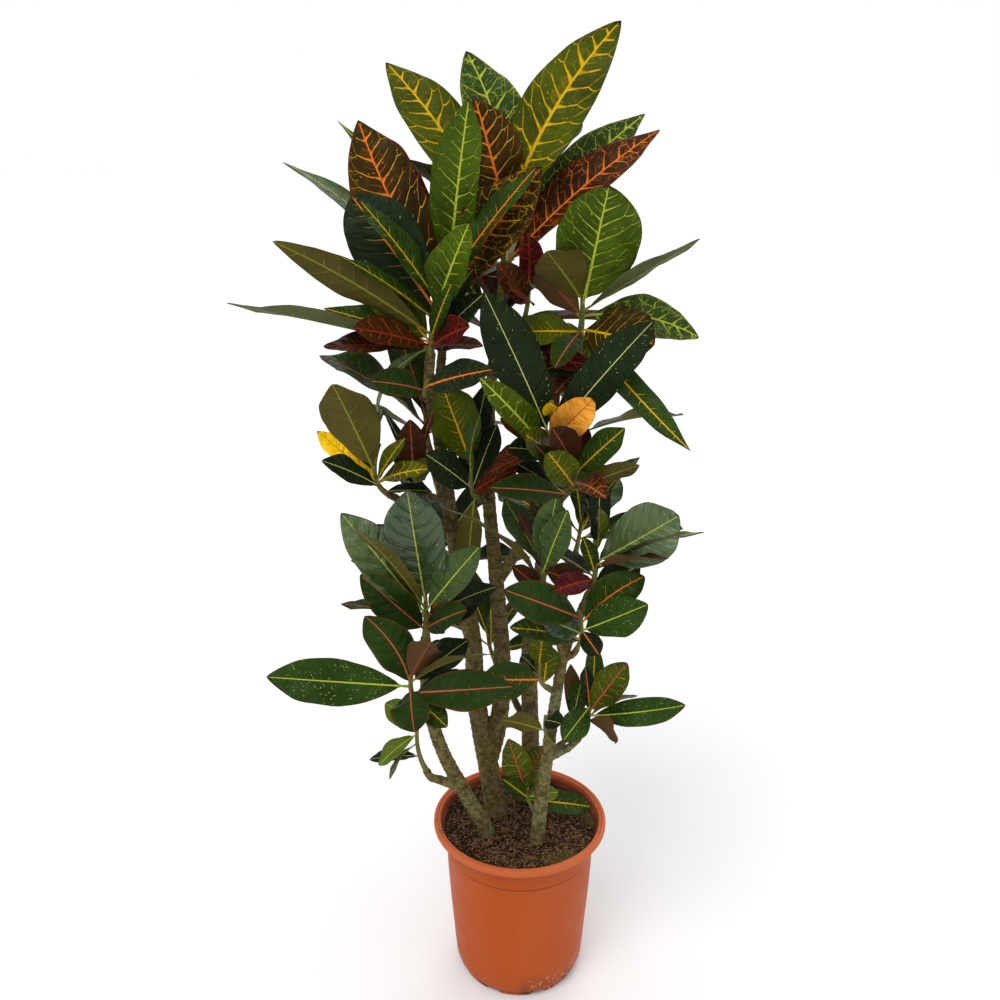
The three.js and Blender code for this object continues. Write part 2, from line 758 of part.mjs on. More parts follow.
// The blade is a waved, folded strip on an arc from root to tip, with a point at the end.
// swelling thickens it for the test of what it would touch, and from leaves its stalk end out.
function leafSolid(leaf, swelling = 0, from = 0) {
  const side = leaf.along.clone().cross(leaf.up);
  const bow = radians(Math.max(leaf.bow, 2));
  const arcRadius = leaf.length / (2 * Math.sin(bow / 2));
  const stalk = LEAF.stalkShare;
  const stations = (leaf.fine ? LEAF.stations : LEAF.fewStations).filter((t) => t >= from);
  const shape = LEAF.taper - 0.5 * Math.max(0, leaf.width / leaf.length - 0.4);
  const corners = [];
  for (const t of stations) {
    const u = Math.max(0, (t - stalk) / (1 - stalk));
    const angle = bow * (t - 0.5);
    const centre = leaf.root.clone()
      .addScaledVector(leaf.along, arcRadius * (Math.sin(angle) + Math.sin(bow / 2)))
      .addScaledVector(leaf.up, arcRadius * (Math.cos(angle) - Math.cos(bow / 2)))
      .addScaledVector(side, leaf.curve * 4 * t * (1 - t));
    const out = leaf.up.clone().multiplyScalar(Math.cos(angle)).addScaledVector(leaf.along, Math.sin(angle));
    const ends = t === 0 || t === 1;
    const half = ends ? 0 : (leaf.width / 2) * outline(u, shape) + swelling / 2;
    const raise = half * Math.sin(radians(LEAF.fold)) * Math.sin(Math.PI * Math.min(1, u * 1.2)) ** 0.5;
    for (const across of [-1, 0, 1]) {
      const wave = across * across * leaf.width * LEAF.waveShare * Math.sin(Math.PI * u)
        * Math.sin(2 * Math.PI * LEAF.waves * u + leaf.phase + (across > 0 ? 2 : 0));
      const height = ends ? 0 : across * across * raise + wave;
      const middle = centre.clone()
        .addScaledVector(side, across * half * Math.cos(radians(LEAF.fold)))
        .addScaledVector(out, height);
      const thick = ends || across ? LEAF.edgeThickness : LEAF.midribThickness;
      const depth = (thick + swelling) / 2;
      corners.push(middle.clone().addScaledVector(out, depth), middle.clone().addScaledVector(out, -depth));
    }
  }
  // Per station: left top, left bottom, middle top, middle bottom, right top, right bottom.
  const faces = [];
  const quad = (a, b, c, d) => faces.push(a, b, c, a, c, d);
  for (let s = 0; s + 1 < stations.length; s += 1) {
    const [lt, lb, mt, mb, rt, rb] = [0, 1, 2, 3, 4, 5].map((k) => 6 * s + k);
    const [lt2, lb2, mt2, mb2, rt2, rb2] = [0, 1, 2, 3, 4, 5].map((k) => 6 * s + 6 + k);
    quad(lt, mt, mt2, lt2);
    quad(rt, rt2, mt2, mt);
    quad(mb2, mb, lb, lb2);
    quad(mb2, rb2, rb, mb);
    quad(lb, lt, lt2, lb2);
    quad(rb, rb2, rt2, rt);
  }
  faces.push(0, 1, 3, 0, 3, 2, 2, 3, 5, 2, 5, 4);
  const last = corners.length - 6;
  faces.push(last, last + 2, last + 3, last, last + 3, last + 1);
  faces.push(last + 2, last + 4, last + 5, last + 2, last + 5, last + 3);
  const geometry = new THREE.BufferGeometry();
  const flat = corners.flatMap((corner) => corner.toArray());
  geometry.setAttribute('position', new THREE.Float32BufferAttribute(flat, 3));
  geometry.setIndex(faces);
  return solid(geometry);
}

// ---------------------------------------------------------------- shoots

// The green end of a branch leaves the branch's cut end squarely, and bends towards its tip.
function twigPath(shoot, gap = GAP) {
  const { end, direction } = limbs[shoot.limb];
  const start = end.clone().addScaledVector(direction, gap);
  const tip = vector(shoot.tip);
  const bend = start.clone().addScaledVector(direction, start.distanceTo(tip) / 2);
  return new THREE.QuadraticBezierCurve3(start, bend, tip);
}

function twigOf(shoot, swelling = 0) {
  const path = twigPath(shoot, GAP - swelling / 2);
  const radius = TWIG.radius + swelling / 2;
  return bar(path, radius, TWIG.tipRadius + swelling / 2, TWIG.sides, TWIG.spacing);
}

// Place of a leaf's root on its shoot's axis, from the lowest leaf (0) to the highest (1).
function rootOn(shoot, share) {
  const path = twigPath(shoot);
  const lowest = ROOT_OFFSET / path.v0.distanceTo(path.v2);
  return path.getPoint(THREE.MathUtils.lerp(lowest, ROOT_HIGHEST, share));
}

// Leaves that the rule adds: round the shoot by the golden section, the highest ones steepest.
function ruleLeaves(shoot) {
  const [count, length, middle, spread] = shoot.fill;
  const leaves = [];
  for (let i = 0; i < count; i += 1) {
    const share = (i + 0.5) / count;
    const azimuth = radians(middle + spread * (((i + 1) * GOLDEN_SECTION) % 1 - 0.5));
    const rise = radians(RULE.steepest - (RULE.steepest - RULE.flattest) * share + 16 * (random() - 0.5));
    const long = length * (0.78 + 0.44 * random());
    const root = rootOn(shoot, 0.95 - 0.85 * share);
    const tip = root.clone().add(new THREE.Vector3(
      Math.cos(azimuth) * Math.cos(rise),
      Math.sin(azimuth) * Math.cos(rise),
      Math.sin(rise),
    ).multiplyScalar(long));
    const leaf = leafUpwards(root, tip, 50 * (random() - 0.5));
    leaf.width = long * (0.3 + 0.14 * random());
    leaf.bow = 16 + 24 * random();
    leaf.curve = 0;
    leaves.push(leaf);
  }
  return leaves;
}

function shownLeaf(shoot, [share, x, y, z, width, bow, turn, curve = 0]) {
  const leaf = leafFacing(rootOn(shoot, share), new THREE.Vector3(x, y, z), turn);
  return { ...leaf, width, bow, curve, fine: leaf.length > LEAF.fineFrom };
}

// ---------------------------------------------------------------- clearance

const obstacles = []; // solids already placed, each with its name and box; a leaf has its outer part too

function obstacle(name, body) {
  const { min, max } = body.boundingBox();
  return { name, body, min, max };
}

function meets(a, b) {
  for (let axis = 0; axis < 3; axis += 1) {
    if (a.max[axis] < b.min[axis] || b.max[axis] < a.min[axis]) {
      return false;
    }
  }
  return a.body.intersect(b.body).volume() > 0.001;
}

// Swings a leaf until it clears the other pieces, and the outer part of it its own shoot's leaves.
// Returns nothing if no swing clears it.
function settle(leaf, shootName) {
  for (const swing of SWINGS) {
    const trial = swung(leaf, swing);
    const whole = obstacle(shootName, leafSolid(trial, CLEARANCE));
    const outer = obstacle(shootName, leafSolid(trial, CLEARANCE, OUTER_PART));
    const blocked = obstacles.some((other) => (
      other.name === shootName ? other.outer && meets(outer, other.outer) : meets(whole, other)
    ));
    if (!blocked) {
      const body = leafSolid(trial);
      const outerPart = obstacle(shootName, leafSolid(trial, 0, OUTER_PART));
      obstacles.push({ ...obstacle(shootName, body), outer: outerPart });
      return body;
    }
  }
  return null;
}

// ---------------------------------------------------------------- whole plant

const group = new THREE.Group();
const pot = potSolid();
group.add(mesh('pot', pot, 0xc8622f, 0.55));
obstacles.push(obstacle('pot', pot));

const swollenStems = [];
for (const [name, stem] of Object.entries(STEMS)) {
  swollenStems.push(stemSolid(stem, GAP));
  const body = stemSolid(stem, 0);
  group.add(mesh(name, body, stem.color, 0.9));
  obstacles.push(obstacle(name, body));
}
const soil = soilSolid(swollenStems);
group.add(mesh('soil', soil, 0x2e1c12, 1));
obstacles.push(obstacle('soil', soil));

const parts = {};
for (const [name, shoot] of Object.entries(SHOOTS)) {
  parts[name] = [twigOf(shoot)];
  obstacles.push(obstacle(`shoot_${name}`, parts[name][0]));
}

let phase = 0;
function place(name, leaf) {
  phase += PHASE_STEP;
  const body = settle({ ...leaf, phase }, `shoot_${name}`);
  if (body) {
    parts[name].push(body);
  }
}

for (const [name, { shoot, color, row }] of Object.entries(ODD_LEAVES)) {
  phase += PHASE_STEP;
  const leaf = { ...shownLeaf(SHOOTS[shoot], row), phase };
  const body = leafSolid(leaf).subtract(twigOf(SHOOTS[shoot], 2 * GAP));
  const pieces = body.decompose().sort((a, b) => b.volume() - a.volume());
  group.add(mesh(name, pieces[0], color, 0.6));
  obstacles.push(obstacle(name, pieces[0]));
}
for (const [name, shoot] of Object.entries(SHOOTS)) {
  for (const row of shoot.leaves) {
    place(name, shownLeaf(shoot, row));
  }
}
for (const [name, shoot] of Object.entries(SHOOTS)) {
  for (const leaf of ruleLeaves(shoot)) {
    place(name, leaf);
  }
}
for (const [name, shoot] of Object.entries(SHOOTS)) {
  const whole = parts[name].reduce((a, b) => a.add(b));
  group.add(mesh(`shoot_${name}`, whole, shoot.color, 0.45));
}

export default group;
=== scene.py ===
"""Potted croton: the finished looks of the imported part.

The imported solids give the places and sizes. This file gives each piece its fine shape and its
finish. The tables are in millimetres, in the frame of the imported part: +Z is up and -Y is the
front. The scene's own lengths, and those of the finishes, are metres.
"""

import copy
import math
from collections import namedtuple

import bmesh
import bpy
from mathutils import Matrix, Vector, noise
from mathutils.kdtree import KDTree


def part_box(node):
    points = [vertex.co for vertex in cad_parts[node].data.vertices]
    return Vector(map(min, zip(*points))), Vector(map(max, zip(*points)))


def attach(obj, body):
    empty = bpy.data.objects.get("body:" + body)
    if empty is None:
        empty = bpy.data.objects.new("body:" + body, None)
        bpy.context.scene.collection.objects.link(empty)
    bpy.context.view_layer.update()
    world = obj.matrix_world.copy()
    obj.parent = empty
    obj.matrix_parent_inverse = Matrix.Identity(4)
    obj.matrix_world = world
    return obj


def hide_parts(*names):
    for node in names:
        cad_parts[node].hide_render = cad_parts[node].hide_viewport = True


bl_info = {
    "name": "Potted croton",
    "version": (1, 0, 0),
    "blender": (4, 5, 0),
    "location": "View3D > Sidebar > Croton",
    "description": "Builds a croton with coloured leaves in a plastic nursery pot",
    "category": "Add Mesh",
}

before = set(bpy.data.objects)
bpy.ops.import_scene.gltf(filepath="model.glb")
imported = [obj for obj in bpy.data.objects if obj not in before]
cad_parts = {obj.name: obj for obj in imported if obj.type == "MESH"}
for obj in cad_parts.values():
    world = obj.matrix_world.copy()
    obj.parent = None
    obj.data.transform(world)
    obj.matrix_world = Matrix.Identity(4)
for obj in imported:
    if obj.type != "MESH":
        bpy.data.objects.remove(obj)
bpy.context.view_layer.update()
POT_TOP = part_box("pot")[1]

# A millimetre, and how close two points lie that are merged, both in metres.
MM = 0.001
WELD = 1e-6

# ------------------------------------------------------------------ the plant, in millimetres

# Each stem's limbs: [radius at start, radius at end, points].
STEMS = {
    "stem_left": {
        "left_main": (10.5, 6, ((-38, -20, 165), (-45, -25, 228), (-74, -40, 304),
                                (-100, -55, 372), (-115, -65, 434), (-120, -72, 481),
                                (-121, -72, 522), (-119, -70, 552))),
        "left_front": (6, 4.6, ((-117, -66, 439), (-124, -84, 461), (-132, -100, 482))),
        "left_stub": (6.5, 4.5, ((-75, -41, 306), (-96, -50, 327), (-119, -58, 342),
                                 (-124, -61, 354))),
    },
    "stem_centre": {
        "left_arm": (15, 5.5, ((-30, 26, 165), (-33, 21, 228), (-44, 30, 300), (-53, 27, 357),
                               (-61, 24, 419), (-64, 20, 502), (-77, 12, 588), (-88, 5, 665),
                               (-95, 0, 735), (-104, -5, 801), (-112, -10, 856),
                               (-109, -16, 895))),
        "right_arm": (12, 5, ((-43, 30, 311), (-31, 31, 362), (-24, 31, 434), (-27, 29, 516),
                              (-35, 26, 618), (-42, 20, 709), (-40, 18, 819), (-34, 20, 899),
                              (-29, 21, 943))),
        "mid_arm": (6, 4.6, ((-103, -5, 796), (-101, 8, 850), (-96, 18, 899), (-92, 21, 923))),
        "centre_fork": (7.5, 4.6, ((-32, 27, 583), (-13, 15, 619), (8, 0, 672), (20, -16, 726),
                                   (29, -34, 774))),
        "low_fork": (5, 4, ((10, -2, 678), (31, -22, 703), (50, -38, 724))),
        "left_low_twig": (4.2, 3.6, ((-108, -6, 833), (-114, -20, 839), (-116, -32, 848))),
        "left_inner_twig": (4.4, 3.6, ((-93, 1, 706), (-113, -18, 718), (-127, -30, 732))),
        "left_twig": (5.5, 4.2, ((-87, 6, 660), (-115, -12, 689), (-144, -32, 714),
                                 (-163, -42, 729))),
        "mid_twig": (4.6, 3.8, ((-42, 20, 694), (-50, 4, 704), (-57, -11, 713))),
        "red_twig": (4.6, 3.8, ((-38, 19, 854), (-19, 8, 887), (-4, -4, 920))),
        "back_high_twig": (5, 4, ((-39, 18, 819), (-38, 45, 858), (-34, 68, 891))),
        "back_left_twig": (5.5, 4.2, ((-63, 21, 491), (-85, 45, 531), (-104, 70, 567))),
        "back_mid_twig": (5, 4, ((-90, 4, 680), (-108, 36, 718), (-119, 62, 759))),
    },
    "stem_back": {
        "back_main": (13, 5, ((10, 58, 165), (11, 56, 228), (16, 64, 309), (14, 60, 392),
                              (13, 58, 474), (23, 55, 556), (35, 46, 657), (46, 32, 769),
                              (60, 14, 859), (67, 3, 911))),
        "right_front_twig": (4.2, 3.4, ((61, 13, 858), (70, 2, 868), (74, -8, 877))),
        "back_right": (7, 4.4, ((14, 60, 407), (41, 76, 478), (65, 90, 549), (77, 97, 599))),
        "back_right_twig": (5.5, 4.2, ((34, 47, 647), (60, 66, 707), (78, 80, 761))),
        "back_low_twig": (5, 4, ((14, 62, 340), (-13, 88, 385), (-35, 104, 426))),
    },
    "stem_right": {
        "right_main": (10, 5, ((19, -38, 165), (23, -41, 228), (29, -40, 304), (37, -45, 387),
                               (45, -48, 459), (54, -50, 520), (69, -53, 567), (83, -56, 607))),
        "small_twig": (4.2, 3.4, ((53, -50, 510), (65, -60, 524), (69, -67, 537))),
        "side_twig": (4.6, 3.6, ((45, -48, 457), (41, -57, 468), (30, -64, 479))),
        "low_twig": (5, 3.8, ((36, -43, 360), (66, -44, 380), (78, -45, 397), (83, -45, 410))),
        "low_back_twig": (4.2, 3.4, ((36, -42, 366), (59, -33, 382), (65, -28, 394))),
        "inner_twig": (4.8, 3.6, ((53, -50, 510), (44, -57, 549), (33, -61, 582), (28, -62, 603))),
        "bud_twig": (3.6, 3, ((38, -46, 389), (42, -55, 393), (37, -60, 399))),
        "basal_twig": (4, 3.2, ((27, -41, 272), (20, -37, 274), (15, -33, 279))),
    },
}

# Each shoot: the limb it continues, its tip, (count, length, middle, spread) of the leaves that
# the rule adds, the look of those, and the leaves that show from the front: (look, place along
# the shoot, tip x, y, z, width, bow, turn and, where the midrib curves, how far). Lengths are in
# millimetres and angles in degrees.
SHOOTS = {
    "crown_left": ("left_arm", (-98, -20, 965), (1, 140, 120, 150), "green", (
        ("under_grey", 0.02, -319, -110, 966, 41, 3, 106),
        ("under", 0.25, -269, -90, 1028, 42, 8, 150, -5),
        ("dark_orange", 0.75, -196, 0, 1071, 82, 15, 8),
        ("green", 0.90, -176, -40, 1073, 43, 12, 50),
        ("green", 0.55, -201, -60, 1016, 33, 15, 55),
        ("green", 0.10, -231, -20, 947, 36, 14, 30),
        ("maroon", 0.05, -187, -90, 936, 43, 10, 40),
        ("maroon", 0.00, -223, -70, 906, 41, 10, 50),
        ("red", 0.00, -60, -100, 939, 41, 18, 40),
        ("bright", 0.60, -60, -70, 1046, 55, 12, 20),
        ("green_orange", 0.90, 13, -45, 1103, 43, 14, 40),
        ("grey", 0.00, -178, 10, 810, 28, 70, 60),
        ("olive", 0.10, -189, -5, 993, 58, 16, 15),
        ("green", 0.20, -80, -70, 982, 24, 14, 20),
        ("green", 0.30, -57, -15, 992, 32, 16, 30),
        ("brown", 0.00, -46, -90, 916, 30, 14, 45),
        ("dark", 0.05, -42, -60, 962, 36, 14, 20))),
    "crown_mid": ("mid_arm", (-88, 22, 989), (2, 150, 110, 140), "maroon", (
        ("maroon_orange", 0.35, -191, 50, 1152, 89, 14, 8, -9),
        ("bright", 0.85, -60, -50, 1171, 64, 10, 15),
        ("dark_net", 0.55, 18, -40, 1102, 78, 16, 15),
        ("grey", 0.05, -294, 110, 1106, 45, 34, 60),
        ("maroon_red", 0.65, -191, 95, 1149, 60, 14, 10))),
    "crown_top": ("right_arm", (-20, 18, 1067), (5, 160, 90, 200), "olive", (
        ("olive_gold", 0.60, -158, 60, 1214, 72, 16, 5, 10),
        ("grey_net", 0.70, -68, 75, 1221, 76, 12, 5, 16),
        ("maroon_orange", 0.90, -55, -5, 1173, 68, 10, 10),
        ("olive_gold", 0.80, 104, 15, 1252, 74, 12, 5, -15),
        ("grey_net", 0.50, 144, 85, 1160, 56, 14, 10, -5),
        ("maroon_red", 0.35, 153, 20, 1141, 62, 16, 30, -5))),
    "crown_right": ("back_main", (66, 0, 982), (3, 140, 100, 110), "green", (
        ("olive_green", 0.50, 91, -40, 1083, 103, 12, 0),
        ("under_grey", 0.40, 189, -70, 1029, 41, 4, 102),
        ("grey_net", 0.30, 204, -20, 913, 53, 30, 25, -9),
        ("green", 0.05, 185, -110, 802, 36, 18, 20, 8),
        ("under", 0.60, 23, -70, 1016, 60, 14, 150),
        ("bronze", 0.05, 145, -70, 914, 76, 14, 10),
        ("dark_salmon", 0.00, 33, -80, 889, 33, 25, 25),
        ("olive_dim", 0.00, -19, -50, 924, 46, 12, 20),
        ("under_brown", 0.30, 4, -20, 993, 40, 12, 160))),
    "centre_red": ("red_twig", (3, -15, 993), (0, 90, 90, 200), "maroon", (
        ("red", 0.80, 4, -35, 1029, 35, 14, 20),
        ("maroon", 0.40, -31, -60, 1001, 39, 14, 20),
        ("maroon", 0.50, -21, -100, 984, 39, 14, 45),
        ("dark", 0.10, 38, -100, 930, 43, 25, 35),
        ("red", 0.00, 90, -50, 932, 29, 12, 20, 14),
        ("brown", 0.00, 26, -50, 900, 27, 20, 25))),
    "centre_high": ("centre_fork", (32, -50, 846), (0, 90, 90, 200), "dark", (
        ("dark_cream", 0.30, -60, -60, 967, 64, 14, 12),
        ("dark_cream", 0.30, 141, -85, 944, 57, 14, 25),
        ("bright", 0.00, -51, -130, 891, 40, 14, 25),
        ("spotted", 0.80, 33, -80, 851, 20, 12, 10),
        ("maroon", 0.10, -40, -70, 764, 39, 22, 50),
        ("olive", 0.00, -1, -130, 827, 37, 14, 20),
        ("under_brown", 0.50, 20, -30, 903, 32, 14, 170),
        ("maroon", 0.10, -28, -60, 827, 25, 18, 20),
        ("dark", 0.00, -31, -75, 791, 35, 18, 15))),
    "centre_low": ("low_fork", (58, -52, 788), (0, 90, 60, 180), "dark", (
        ("green", 0.60, 112, -100, 826, 37, 16, 22),
        ("under", 0.10, 132, -90, 780, 32, 14, 150),
        ("brown", 0.70, 29, -125, 833, 44, 12, 15),
        ("dark_salmon", 0.00, -40, -100, 756, 37, 20, 20),
        ("maroon_red", 0.40, 93, -110, 746, 34, 30, 40),
        ("dark_salmon", 0.20, -2, -100, 816, 29, 14, 10),
        ("olive", 0.30, 11, -120, 816, 40, 14, 5),
        ("brown", 0.60, 71, -40, 815, 31, 14, 15),
        ("dark", 0.00, -14, -60, 779, 30, 16, 20))),
    "mid_left": ("left_twig", (-169, -50, 794), (1, 85, 90, 220), "dark", (
        ("under", 0.60, -212, -100, 876, 64, 14, 172),
        ("dark", 0.20, -227, -110, 791, 33, 16, 50),
        ("dark", 0.90, -163, -45, 838, 24, 30, 60),
        ("olive_gold", 0.30, -109, -90, 775, 32, 25, 50),
        ("dark", 0.00, -107, -70, 741, 26, 14, 60),
        ("olive", 0.30, -136, -70, 807, 22, 20, 40))),
    "mid": ("mid_twig", (-60, -22, 769), (1, 80, 60, 160), "dark", (
        ("dark_cream", 0.40, -114, -75, 789, 41, 16, 25),
        ("grey", 0.80, -50, -40, 827, 29, 30, 60),
        ("olive_dim", 0.90, -98, 0, 851, 66, 14, 8),
        ("maroon", 0.20, -6, -70, 769, 39, 25, 40),
        ("dark", 0.30, -31, -5, 806, 36, 16, 15),
        ("dark", 0.90, -43, 10, 854, 34, 16, 20),
        ("under", 0.00, -68, -35, 620, 36, 14, 160))),
    "left_upper": ("left_main", (-119, -75, 622), (2, 110, 110, 180), "dark", (
        ("moss", 0.65, -134, -95, 751, 79, 14, 2),
        ("sage", 0.40, -213, -85, 720, 61, 14, 12),
        ("olive_dim", 0.50, -188, -165, 734, 35, 18, 135),
        ("grey", 0.50, -50, -115, 691, 42, 18, 15),
        ("dark_salmon", 0.05, -184, -100, 657, 51, 18, 12),
        ("dark_salmon", 0.20, -224, -60, 592, 34, 25, 65),
        ("dark_salmon", 0.10, -65, -140, 622, 38, 18, 40),
        ("dark", 0.30, -31, -80, 624, 40, 25, 50),
        ("dark", 0.00, -53, -40, 592, 35, 20, 30),
        ("maroon_red", 0.10, -64, -100, 647, 22, 14, 20))),
    "left_front": ("left_front", (-128, -110, 548), (1, 90, 100, 160), "green", (
        ("green_clear", 0.40, -299, -150, 541, 60, 12, 10, 0),
        ("dark_salmon", 0.40, -185, -125, 607, 49, 14, 10, 9),
        ("olive", 0.50, -36, -185, 589, 32, 25, 115),
        ("under_brown", 0.60, -90, -165, 588, 44, 12, 160),
        ("dark_salmon", 0.20, -11, -165, 537, 52, 16, 12),
        ("dark_salmon", 0.30, -125, -190, 492, 46, 25, 0),
        ("dark", 0.70, -100, -90, 558, 34, 14, 60),
        ("green", 0.00, -90, -150, 474, 31, 28, 30),
        ("dark", 0.50, -67, -60, 543, 40, 14, 20),
        ("dark", 0.10, -64, -90, 514, 26, 14, 30))),
    "left_stub": ("left_stub", (-132, -72, 433), (0, 60, 90, 180), "pale", (
        ("pale", 0.80, -181, -95, 384, 26, 35, 40),
        ("grey", 0.60, -166, -110, 374, 22, 45, 80),
        ("pale", 1.00, -170, -90, 471, 34, 20, 20),
        ("dark", 0.30, -191, -90, 389, 26, 20, 60))),
    "right_middle": ("right_main", (86, -60, 676), (3, 100, 70, 180), "dark", (
        ("sage", 0.60, 182, -80, 715, 73, 14, 0),
        ("under_grey", 0.50, 215, -135, 721, 34, 18, 98),
        ("brown", 0.45, 169, -150, 688, 36, 18, 112),
        ("red", 0.20, 34, -120, 636, 32, 20, 40),
        ("olive", 0.80, 88, -75, 724, 34, 14, 60),
        ("dark", 0.90, 78, -20, 716, 36, 14, 50),
        ("dark", 0.00, 145, -40, 634, 42, 18, 20),
        ("green", 0.30, 71, -70, 684, 22, 14, 20),
        ("brown", 0.00, 27, -90, 648, 36, 14, 30))),
    "right_inner": ("inner_twig", (27, -68, 672), (1, 90, 90, 180), "dark", (
        ("grey", 0.60, 38, -85, 740, 43, 14, 10),
        ("grey", 0.40, 68, -100, 726, 38, 14, 20),
        ("olive", 0.20, -95, -110, 736, 34, 35, 105),
        ("brown", 0.00, -13, -85, 653, 26, 14, 20),
        ("brown", 0.50, -6, -50, 708, 36, 14, 60),
        ("grey", 0.60, -20, -20, 721, 39, 16, 15))),
    "right_small": ("small_twig", (69, -75, 591), (0, 60, 60, 120), "dark", (
        ("dark_orange", 0.50, 91, -110, 548, 26, 20, 10),
        ("quilted", 0.40, 21, -110, 598, 35, 22, 15),
        ("green", 0.20, -18, -125, 602, 38, 20, 45),
        ("green_orange", 0.70, 144, -90, 642, 50, 16, 12, -6),
        ("green_clear", 0.50, 144, -125, 622, 49, 18, 8),
        ("dark_salmon", 0.85, -38, -130, 645, 50, 16, 15))),
    "right_side": ("side_twig", (25, -70, 528), (0, 70, 120, 120), "dark", (
        ("green_orange", 0.30, -51, -115, 519, 48, 18, 5),
        ("olive", 0.80, 24, -95, 564, 34, 12, 20),
        ("dark", 0.50, -1, -60, 521, 30, 20, 60),
        ("olive", 0.00, 19, -60, 534, 34, 12, 10))),
    "right_low": ("low_twig", (89, -44, 444), (2, 90, 60, 180), "green", (
        ("net_orange", 0.60, 131, -70, 516, 42, 14, 20),
        ("green_clear", 0.40, 204, -85, 465, 39, 18, 15, 2),
        ("brown", 0.20, 119, -105, 428, 34, 16, 150),
        ("dark_orange", 0.60, 82, -30, 489, 26, 14, 30),
        ("green_clear", 0.90, 51, -100, 423, 36, 14, 20))),
    "right_bud": ("bud_twig", (31, -64, 438), (0, 60, 90, 180), "dark", (
        ("under", 0.50, -24, -90, 447, 34, 16, 155),
        ("dark", 0.90, 49, -90, 441, 28, 20, 60))),
    "basal": ("basal_twig", (8, -28, 304), (1, 60, 60, 60), "green", (
        ("net_orange", 0.70, -17, -40, 388, 44, 12, 10),
        ("net_orange", 0.90, 30, -15, 361, 36, 12, 30),
        ("pale", 0.40, 53, -10, 284, 22, 25, 30),
        ("green", 0.20, 111, 5, 252, 34, 20, 30),
        ("green", 0.40, -28, -50, 336, 24, 16, 20))),
    "back_high": ("back_high_twig", (-29, 86, 930), (6, 160, 90, 300), "maroon", (
        ("grey_net", 0.30, -226, 120, 1154, 49, 30, 30),)),
    "back_left": ("back_left_twig", (-116, 88, 605), (6, 140, 110, 280), "dark", ()),
    "back_mid": ("back_mid_twig", (-125, 80, 798), (6, 140, 100, 280), "dark_salmon", ()),
    "back_right": ("back_right", (83, 102, 639), (6, 140, 75, 280), "green", ()),
    "back_right_high": ("back_right_twig", (88, 90, 800), (5, 125, 90, 170), "olive_green", ()),
    "back_low": ("back_low_twig", (-45, 112, 463), (5, 120, 100, 280), "green", ()),
    "left_low": ("left_low_twig", (-110, -42, 870), (0, 70, 110, 60), "dark", (
        ("dark_orange", 0.50, -35, -105, 893, 39, 24, 18),
        ("dark_salmon", 0.20, -172, -95, 878, 38, 28, 22))),
    "left_inner": ("left_inner_twig", (-125, -38, 758), (0, 60, 100, 60), "dark", (
        ("brown", 0.40, -133, -45, 822, 39, 14, 0),
        ("green_orange", 0.20, -156, -90, 767, 21, 24, 40),
        ("net_orange", 0.60, -104, -70, 773, 26, 20, 20),
        ("dark", 0.70, -171, -10, 831, 18, 10, 60),
        ("brown", 0.90, -105, -30, 833, 14, 14, 40),
        ("dark", 0.00, -142, -60, 791, 30, 14, 10))),
    "crown_right_low": ("right_front_twig", (75, -18, 896), (0, 60, 90, 60), "dark", (
        ("dark_orange", 0.40, 31, -45, 887, 39, 24, 15),
        ("brown", 0.00, 27, -60, 858, 23, 24, 40))),
    "right_back": ("low_back_twig", (70, -22, 426), (1, 60, 90, 60), "dark", (
        ("green_clear", 0.40, 80, -14, 461, 29, 14, 20),
        ("brown", 0.20, 66, 0, 477, 24, 14, 160))),
}

# Two dying leaves are pieces of their own: the shoot they grow on and their row.
ODD_LEAVES = {
    "leaf_yellow": ("mid_left", ("yellow", 0.00, -247, -20, 801, 33, 16, 30)),
    "leaf_orange": ("centre_high", ("orange", 0.22, 77, -90, 857, 45, 18, 10)),
}

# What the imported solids' leaves follow. The same numbers find and fill the same places.
GAP = 0.3
ROOT_OFFSET = 5
ROOT_HIGHEST = 0.95
ROOT_BEHIND = 1
STALK_SHARE = 0.08
FOLD = math.radians(12)
WAVE_SHARE = 0.045
WAVES = 1.6
PHASE_STEP = 2.4
EDGE_THICKNESS = 0.8
LEAST_BOW = 2
VIEWER = Vector((0, -0.96, 0.28)).normalized()
TIP_FOUND = 0.05 * MM

# The leaves that the rule adds. A range is the whole span of a random value: above its least
# one where that is given, and otherwise half of it to each side.
LEAF_SEED = 20241
GOLDEN_SECTION = 0.618034
RULE_RUN = 0.85
STEEPEST, FLATTEST, RISE_RANGE = 62, 2, 16
ROLL_RANGE = 50
REACH_LEAST, REACH_RANGE = 0.78, 0.44
SLENDER_LEAST, SLENDER_RANGE = 0.3, 0.14
BOW_LEAST, BOW_RANGE = 16, 24

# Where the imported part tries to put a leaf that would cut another: turned by two angles in
# degrees, and shortened to a share.
SWINGS = [(0, 0, 1)] + [
    (sideways * angle, upwards * angle, share)
    for share in (1, 0.85, 0.7)
    for angle in (5, 10, 15, 21, 28)
    for sideways, upwards in ((1, 0), (-1, 0), (0, 1), (0, -1), (0.7, 0.7), (-0.7, 0.7),
                              (0.7, -0.7), (-0.7, -0.7))
]

# How the scene bends its blades: the rows and columns of a face, then the powers of its outline
# at the stalk and at the tip, where it begins and where its tip is drawn out, as shares of its
# length, and half its width just before the tip. Slender blades taper faster and wide ones slower.
FINE_GRID, PLAIN_GRID = (54, 18), (36, 14)
FULLNESS = 0.85
TAPER, TAPER_RANGE = 0.72, 0.14
SLENDER, TAPER_SLENDER = 0.3, 1.5
WIDE, TAPER_WIDE = 0.4, 0.5
BLADE_BEGINS = 0.07
TIP_FROM, TIP_RUN, TIP_DRAWN = 0.78, 0.22, 0.3
TIP_HALF = 0.35

